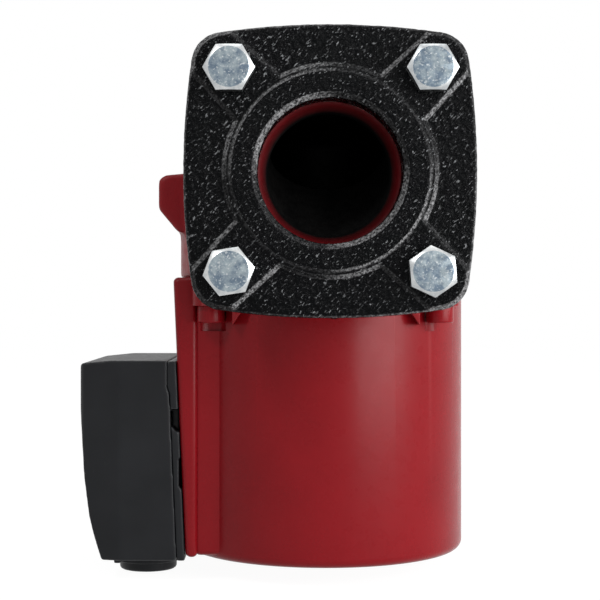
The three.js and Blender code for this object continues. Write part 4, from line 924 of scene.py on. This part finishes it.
def terminal_pad():
    low = (PAD_X - 2, -PAD_HALF_WIDTH, PAD_BOTTOM_Z)
    pad = box_solid("pad", low, (-20, PAD_HALF_WIDTH, MOTOR_FLANGE_Z + 1))
    cut_x, reach = -52.0, 70.0
    corner = [(cut_x, -PAD_HALF_WIDTH - 1), (cut_x + reach, -PAD_HALF_WIDTH - 1), (cut_x + reach, -20)]
    for side in (-1, 1):
        points = [(x, side * -y) for x, y in corner]
        boolean(pad, [prism("corner", points, PAD_BOTTOM_Z - 5, MOTOR_FLANGE_Z + 5, "Z")])
    return bevelled(pad, 3.2, 5)


def gusset(side, end):
    """A small web under the motor flange, beside a screw ear."""
    outer, inner = side * GUSSET_OUTER_X, side * GUSSET_INNER_X
    outline = [(outer, MOTOR_FLANGE_Z + 1), (outer, MOTOR_FLANGE_Z - GUSSET_DROP)]
    outline += [(inner, MOTOR_FLANGE_Z - 0.5), (inner, MOTOR_FLANGE_Z + 1)]
    low, high = sorted(end * y for y in GUSSET_ENDS_Y)
    return bevelled(prism("gusset", outline, low, high), 0.4, 2)


def stator_housing():
    profile = [(1, MOTOR_END_Z), (MOTOR_RADIUS, MOTOR_END_Z), (MOTOR_RADIUS, JOINT_Z), (1, JOINT_Z)]
    motor = lathe("stator_housing_look", rounded(profile, [0, MOTOR_EDGE, 0.6, 0], 8), sides=192)
    beyond = [(PLATE_TOP_X, JOINT_Z + 0.2), (PLATE_TOP_X - 20, JOINT_Z + 0.2)]
    beyond += [(PLATE_TOP_X - 20, MOTOR_END_Z - 1), (plate_face_x(MOTOR_END_Z - 1), MOTOR_END_Z - 1)]
    boolean(motor, [prism("beyond", [(x + 0.4, z) for x, z in beyond], -90, 90)])
    ears = [bevelled(ear, 0.7, 3) for ear in ear_solids(MOTOR_FLANGE_Z, JOINT_Z - 0.15)]
    ribs = [gusset(side, end) for side in (-1, 1) for end in (-1, 1)]
    union(motor, *ears, *ribs, terminal_pad(), terminal_plate())
    recess_top = MOTOR_END_Z + VENT_RECESS_DEPTH
    cuts = [
        cylinder("bore", MOTOR_BORE_RADIUS, MOTOR_END_Z + MOTOR_END_WALL, JOINT_Z + 1, sides=128),
        cylinder("neck", VENT_NECK_RADIUS, MOTOR_END_Z - 1, MOTOR_END_Z + MOTOR_END_WALL + 2, sides=64),
        cylinder("recess", VENT_RECESS_RADIUS, MOTOR_END_Z - 1, recess_top, sides=64),
        cylinder("lead", LEAD_HOLE_RADIUS, PLATE_TOP_X - 1, BOX_REAR_X, "X", (0, 0, LEAD_HOLE_Z), 48),
    ]
    for i, j in CORNERS:
        centre = (i * SCREW_OFFSET, j * SCREW_OFFSET, 0)
        pocket = (SCREW_HEAD_RADIUS + 0.6, MOTOR_FLANGE_Z - 12, MOTOR_FLANGE_Z)
        cuts.append(cylinder("pocket", *pocket, "Z", centre, 48))
        cuts.append(cylinder("shank", 4.3, MOTOR_FLANGE_Z - 2, JOINT_Z + 1, "Z", centre, 32))
    boolean(motor, cuts)
    dress(smooth(motor, 32), RED, "pump", ["stator_housing"])


def motor_screws():
    bottom = SCREW_LOW[2]
    head_profile = [
        (3.4, bottom + 4.2),
        (3.4, bottom),
        (SCREW_HEAD_RADIUS, bottom),
        (SCREW_HEAD_RADIUS, MOTOR_FLANGE_Z - 0.1),
        (4.0, MOTOR_FLANGE_Z - 0.1),
        (4.0, SCREW_HIGH[2]),
    ]
    shape = rounded(head_profile, [0, 0.4, 0.9, 0.2, 0, 0], 4)
    for index, (i, j) in enumerate(CORNERS, start=1):
        centre = (i * SCREW_OFFSET, j * SCREW_OFFSET, 0)
        screw = lathe(f"motor_screw_{index}_look", shape, centre=centre, sides=64)
        dress(smooth(screw, 35), RED, "pump", [f"motor_screw_{index}"])


# ---- Terminal box ----


def screw_line():
    """Centres of the cover's two screws, front and rear."""
    return [(0, side * SCREW_LINE_Y, SCREW_LINE_Z) for side in (-1, 1)]


def cover_side(inset=0.0):
    """The outer side of the cover, curving in towards the bottom."""
    outer = BOX_OUTER_X + inset
    top = BOX_TOP_Z - 2.4
    shares = [(0, 1), (0, 0.78), (0.9, 0.62), (2.1, 0.42), (4.6, 0.22), (7, 0.12)]
    side = [(outer + dx, BOX_BOTTOM_Z + share * (top - BOX_BOTTOM_Z)) for dx, share in shares]
    return side + [(outer + 10.6, BOX_BOTTOM_Z + inset)]


def cover_plan(inset=0.0):
    """Plan of the cover: the front and back turn away near the outer side."""
    half = BOX_HALF_WIDTH - inset
    outer = BOX_OUTER_X + inset
    points = [(BOX_REAR_X, -half), (outer + 19, -half), (outer + 2.0, -half + 4.8), (outer, -half + 7)]
    points += [(x, -y) for x, y in reversed(points)]
    return rounded(points, [0, 7, 3, 3, 3, 3, 7, 0], 6)


def terminal_cover():
    """The hollow cover, with its screw bosses and the tab beside the cable entry."""
    top = [(BOX_SLOPE_X, BOX_TOP_Z), (BOX_OUTER_X + 1.0, BOX_TOP_Z - BOX_OUTER_DROP)]
    seam = [(x - 0.15, z) for x, z in reversed(PARTING)]
    cover = prism("terminal_box_cover_look", top + cover_side() + seam, -BOX_HALF_WIDTH, BOX_HALF_WIDTH)
    plan = prism("plan", cover_plan(), BOX_BOTTOM_Z - 2, BOX_TOP_Z + 2, "Z")
    outside = top + cover_side() + [(BOX_REAR_X, BOX_BOTTOM_Z), (BOX_REAR_X, BOX_TOP_Z)]
    soft = bevelled(prism("soft", outside, -BOX_HALF_WIDTH, BOX_HALF_WIDTH), 1.7, 4)
    boolean(cover, [plan], "INTERSECT")
    boolean(cover, [soft], "INTERSECT")
    inner_top = [(BOX_SLOPE_X, BOX_TOP_Z - BOX_WALL)]
    inner_top += [(BOX_OUTER_X + BOX_WALL + 2, BOX_TOP_Z - BOX_OUTER_DROP - BOX_WALL)]
    mouth = [(BOX_REAR_X - 2, BOX_BOTTOM_Z + BOX_WALL), (BOX_REAR_X - 2, BOX_TOP_Z - BOX_WALL)]
    half = BOX_HALF_WIDTH - BOX_WALL
    space = prism("space", inner_top + cover_side(BOX_WALL) + mouth, -half, half)
    boolean(space, [prism("plan", cover_plan(BOX_WALL), BOX_BOTTOM_Z, BOX_TOP_Z, "Z")], "INTERSECT")
    boolean(cover, [space])
    bosses = [
        cylinder("boss", 5.5, BOX_OUTER_X + 1.5, BOX_OUTER_X + BOSS_LENGTH, "X", centre, 48)
        for centre in screw_line()
    ]
    tab_y = ENTRY_Y - ENTRY_COLLAR_RADIUS
    tab_low = (ENTRY_X - 15.2, tab_y, BOX_BOTTOM_Z - 4)
    tab = box_solid("tab", tab_low, (ENTRY_X - 11.6, tab_y + 5, BOX_BOTTOM_Z + 1))
    union(cover, *bosses, tab)
    entry = (ENTRY_X, ENTRY_Y, 0)
    thread, collar = ENTRY_THREAD_RADIUS + 0.3, ENTRY_COLLAR_RADIUS + 0.3
    cuts = [cylinder("entry", thread, BOX_BOTTOM_Z - 1, BOX_BOTTOM_Z + 5, "Z", entry, 64)]
    cuts.append(cylinder("collar", collar, BOX_BOTTOM_Z - 6, BOX_BOTTOM_Z, "Z", entry, 64))
    for centre in screw_line():
        cuts.append(cylinder("shank", BOX_SCREW_HOLE, BOX_OUTER_X - 1, BOX_OUTER_X + 11, "X", centre, 32))
        cuts.append(cylinder("sink", 3.8, BOX_OUTER_X - 1, BOX_OUTER_X + 3, "X", centre, 48))
    boolean(cover, cuts)
    cast_skin(cover, 0.7, 3)
    dress(smooth(cover, 50), PLASTIC, "cover", ["terminal_box_cover"])


def terminal_base():
    """The base against the plate, with two pillars for the cover's screws and two notches."""
    right = [(plate_face_x(z) - 0.3, z) for z in (BOX_BOTTOM_Z, BOX_TOP_Z - 0.3)]
    left = [(x, min(z, BOX_TOP_Z - 0.3)) for x, z in PARTING]
    base = prism("terminal_box_base_look", left + right, -BOX_HALF_WIDTH, BOX_HALF_WIDTH)
    bevelled(base, 0.7, 3)
    pillar_x = BOX_OUTER_X + 12.8
    union(base, *[cylinder("pillar", 4.0, pillar_x, -71.5, "X", centre, 48) for centre in screw_line()])
    cuts = [cylinder("lead", LEAD_HOLE_RADIUS, -78, BOX_REAR_X, "X", (0, 0, LEAD_HOLE_Z), 48)]
    front = -BOX_HALF_WIDTH - 1
    for depth, drop, height in NOTCHES:
        high = BOX_TOP_Z - drop
        low = high - height
        x = plate_face_x(high) - depth
        slope = [(x, high), (x, low + 1.5), (x + 2.5, low - 1.5)]
        slope += [(BOX_REAR_X, low - 1.5), (BOX_REAR_X, high)]
        cuts.append(prism("notch", slope, front, front + 1 + NOTCH_LENGTH))
    for centre in screw_line():
        cuts.append(cylinder("thread", BOX_SCREW_HOLE, pillar_x - 2, -82, "X", centre, 32))
    for side in (-1, 1):
        centre = (0, side * BASE_SCREW_Y, BASE_SCREW_Z)
        cuts.append(cylinder("screw", BOX_SCREW_HOLE, -78, BOX_REAR_X, "X", centre, 32))
    boolean(base, cuts)
    cast_skin(base, 0.6, 3)
    dress(smooth(base, 50), PLASTIC, "pump", ["terminal_box_base"])


def entry_plug():
    """The plug as one turned shape: dished cap, groove, collar and thread."""
    top = BOX_BOTTOM_Z - 0.35
    collar = top - ENTRY_COLLAR_HEIGHT
    bottom, thread, cap = PLUG_LOW[2], ENTRY_THREAD_RADIUS, ENTRY_CAP_RADIUS
    profile = [(0.5, bottom + 0.6), (thread - 1, bottom + 0.6), (thread, bottom), (cap, bottom)]
    profile += [(cap, collar + 0.6), (cap + 0.9, collar + 0.6), (cap + 0.9, collar)]
    profile += [(ENTRY_COLLAR_RADIUS, collar), (ENTRY_COLLAR_RADIUS, top), (thread, top)]
    profile += [(thread, PLUG_HIGH[2]), (0.5, PLUG_HIGH[2])]
    shape = rounded(profile, [0, 0.3, 0.3, 1.6, 0.2, 0.2, 0.5, 0.7, 0.4, 0, 0.6, 0], 4)
    plug = lathe("entry_plug_look", shape, centre=(ENTRY_X, ENTRY_Y, 0), sides=96)
    dress(smooth(plug, 35), PLASTIC, "cover", ["entry_plug"])


def cross_screw(name, node, radius, body):
    """A pan-head screw along X with a cross recess, in place of the CAD screw."""
    low, high = extent(node)
    y, z = (low[1] + high[1]) / 2, (low[2] + high[2]) / 2
    top, end = low[0], high[0]
    profile = [(0.5, top), (radius * 0.8, top + 0.1), (radius, top + 0.9), (radius, top + 2.1)]
    profile += [(2, top + 2.1), (2, end - 1), (1.2, end)]
    screw = lathe(name, rounded(profile, [0, 0.6, 0.5, 0.1, 0, 0, 0], 3), "X", (0, y, z), 48)
    for a, b in ((2.1, 0.45), (0.45, 2.1)):
        boolean(screw, [box_solid("slot", (top - 1, y - a, z - b), (top + 1.3, y + a, z + b))])
    dress(smooth(screw, 35), ZINC, body, [node])


def vent_screw():
    """The slotted vent screw in the end of the motor."""
    low, high = extent("vent_plug")
    radius = high[0]
    foot, shank = low[2], 5.7
    profile = [(0.5, foot), (radius, foot), (radius, foot + 3.2), (shank, foot + 3.2)]
    profile += [(shank, high[2]), (0.5, high[2])]
    plug = lathe("vent_plug_look", rounded(profile, [0, 0.8, 0.3, 0, 0.5, 0], 4), sides=96)
    boolean(plug, [box_solid("slot", (-radius - 1, -1, foot - 1), (radius + 1, 1, foot + 1.6))])
    dress(smooth(plug, 35), BRASS, "vent", ["vent_plug"])


# ---- CAD nodes that keep their shape ----

KEPT = {
    STAINLESS: [
        "neck_ring",
        "rotor_can",
        "bearing_plate",
        "lower_bearing_plate",
        "impeller",
        "impeller_nut",
    ],
    LAMINATION: ["stator_core", "rotor_core"],
    COPPER: ["winding_upper", "winding_lower"],
    CERAMIC: ["bearing_upper", "bearing_lower", "shaft", "thrust_ring"],
    RUBBER: ["housing_seal", "vent_seal", "cover_gasket", "lead_grommet"],
    WHITE: ["terminal_block", "capacitor"],
    PLASTIC: ["entry_locknut"],
}


def dress_kept_nodes():
    """Gives the carried-over CAD nodes their materials and finely bevelled edges."""
    for material, names in KEPT.items():
        for name in names:
            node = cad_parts[name]
            for slot in node.material_slots:
                slot.link = "OBJECT"
                slot.material = material
            edge = node.modifiers.new("edge", "BEVEL")
            edge.width = 0.25 * MM
            edge.segments = 2
            edge.limit_method = "ANGLE"


# ---- Floor, light and camera ----

FLOOR_GLOW = 1.11
FLOOR_SHARE = 0.86
FILL = 0.31  # strength of the white surroundings as light on the object
CAMERA_PLACE = (-0.0199, -0.721, -0.0543)
LENS = 85.2
SHIFT_X = 0.0283


def background_share(tree):
    """1 for camera, glossy and transmission rays."""
    path = tree.nodes.new("ShaderNodeLightPath")
    total = None
    for output in ("Is Camera Ray", "Is Glossy Ray", "Is Transmission Ray"):
        if total is None:
            total = path.outputs[output]
            continue
        node = tree.nodes.new("ShaderNodeMath")
        node.operation = "MAXIMUM"
        tree.links.new(total, node.inputs[0])
        tree.links.new(path.outputs[output], node.inputs[1])
        total = node.outputs[0]
    return total


def studio_world():
    world = bpy.data.worlds.new("studio")
    bpy.context.scene.world = world
    world.use_nodes = True
    tree = world.node_tree
    background = tree.nodes["Background"]
    background.inputs["Color"].default_value = (1, 1, 1, 1)
    scale = tree.nodes.new("ShaderNodeMapRange")
    scale.inputs["To Min"].default_value = FILL
    scale.inputs["To Max"].default_value = 1.0
    tree.links.new(background_share(tree), scale.inputs["Value"])
    tree.links.new(scale.outputs["Result"], background.inputs["Strength"])


def floor():
    """A wide pale floor just below the object."""
    bm = bmesh.new()
    bmesh.ops.create_grid(bm, x_segments=1, y_segments=1, size=6000)
    plane = mesh_object("floor", bm)
    plane.location.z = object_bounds()[0][2] - 0.001
    material = bpy.data.materials.new("pale_floor")
    material.use_nodes = True
    tree = material.node_tree
    shader = tree.nodes["Principled BSDF"]
    shader.inputs["Base Color"].default_value = (0.8, 0.8, 0.8, 1)
    shader.inputs["Roughness"].default_value = 0.9
    glow = tree.nodes.new("ShaderNodeEmission")
    glow.inputs["Strength"].default_value = FLOOR_GLOW
    blend = tree.nodes.new("ShaderNodeMixShader")
    share = tree.nodes.new("ShaderNodeMath")
    share.operation = "MULTIPLY"
    share.inputs[1].default_value = FLOOR_SHARE
    tree.links.new(background_share(tree), share.inputs[0])
    tree.links.new(share.outputs[0], blend.inputs["Fac"])
    tree.links.new(shader.outputs[0], blend.inputs[1])
    tree.links.new(glow.outputs[0], blend.inputs[2])
    tree.links.new(blend.outputs[0], tree.nodes["Material Output"].inputs["Surface"])
    plane.data.materials.append(material)
    plane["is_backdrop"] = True


def lamp(name, location, target, size, watts, size_y=None):
    """An area lamp, square or size by size_y, in metres."""
    light = bpy.data.lights.new(name, "AREA")
    light.energy = watts
    light.size = size
    if size_y:
        light.shape = "RECTANGLE"
        light.size_y = size_y
    holder = bpy.data.objects.new(name, light)
    holder.location = location
    aim = Vector(target) - Vector(location)
    holder.rotation_euler = aim.to_track_quat("-Z", "Y").to_euler()
    bpy.context.scene.collection.objects.link(holder)


def lights():
    lamp("key", (0.75, -0.72, 0.125), (0, 0, 0.125), 0.8, 12, 0.62)
    lamp("side", (1.2, -0.25, 0.2), (0, 0, -0.06), 0.4, 4)
    lamp("spark", (-0.62, -0.75, 0.8), (0, -0.05, 0), 0.18, 3.6)
    lamp("top", (0.1, -0.1, 1.3), (0, 0, 0), 0.9, 3.5)


def camera():
    lens = bpy.data.cameras.new("camera")
    lens.sensor_width = 36
    lens.lens = LENS
    lens.shift_x = SHIFT_X
    holder = bpy.data.objects.new("camera", lens)
    holder.location = CAMERA_PLACE
    holder.rotation_euler = (math.pi / 2, 0, 0)
    bpy.context.scene.collection.objects.link(holder)
    bpy.context.scene.camera = holder


camera()
flange_set()
pump_housing()
stator_housing()
motor_screws()
terminal_cover()
terminal_base()
entry_plug()
for end in ("front", "rear"):
    cross_screw(f"cover_screw_{end}_look", f"cover_screw_{end}", 3.5, "cover")
    cross_screw(f"base_screw_{end}_look", f"base_screw_{end}", 4.0, "pump")
vent_screw()
dress_kept_nodes()
floor()
lights()
studio_world()
bpy.context.scene.view_settings.view_transform = "Standard"
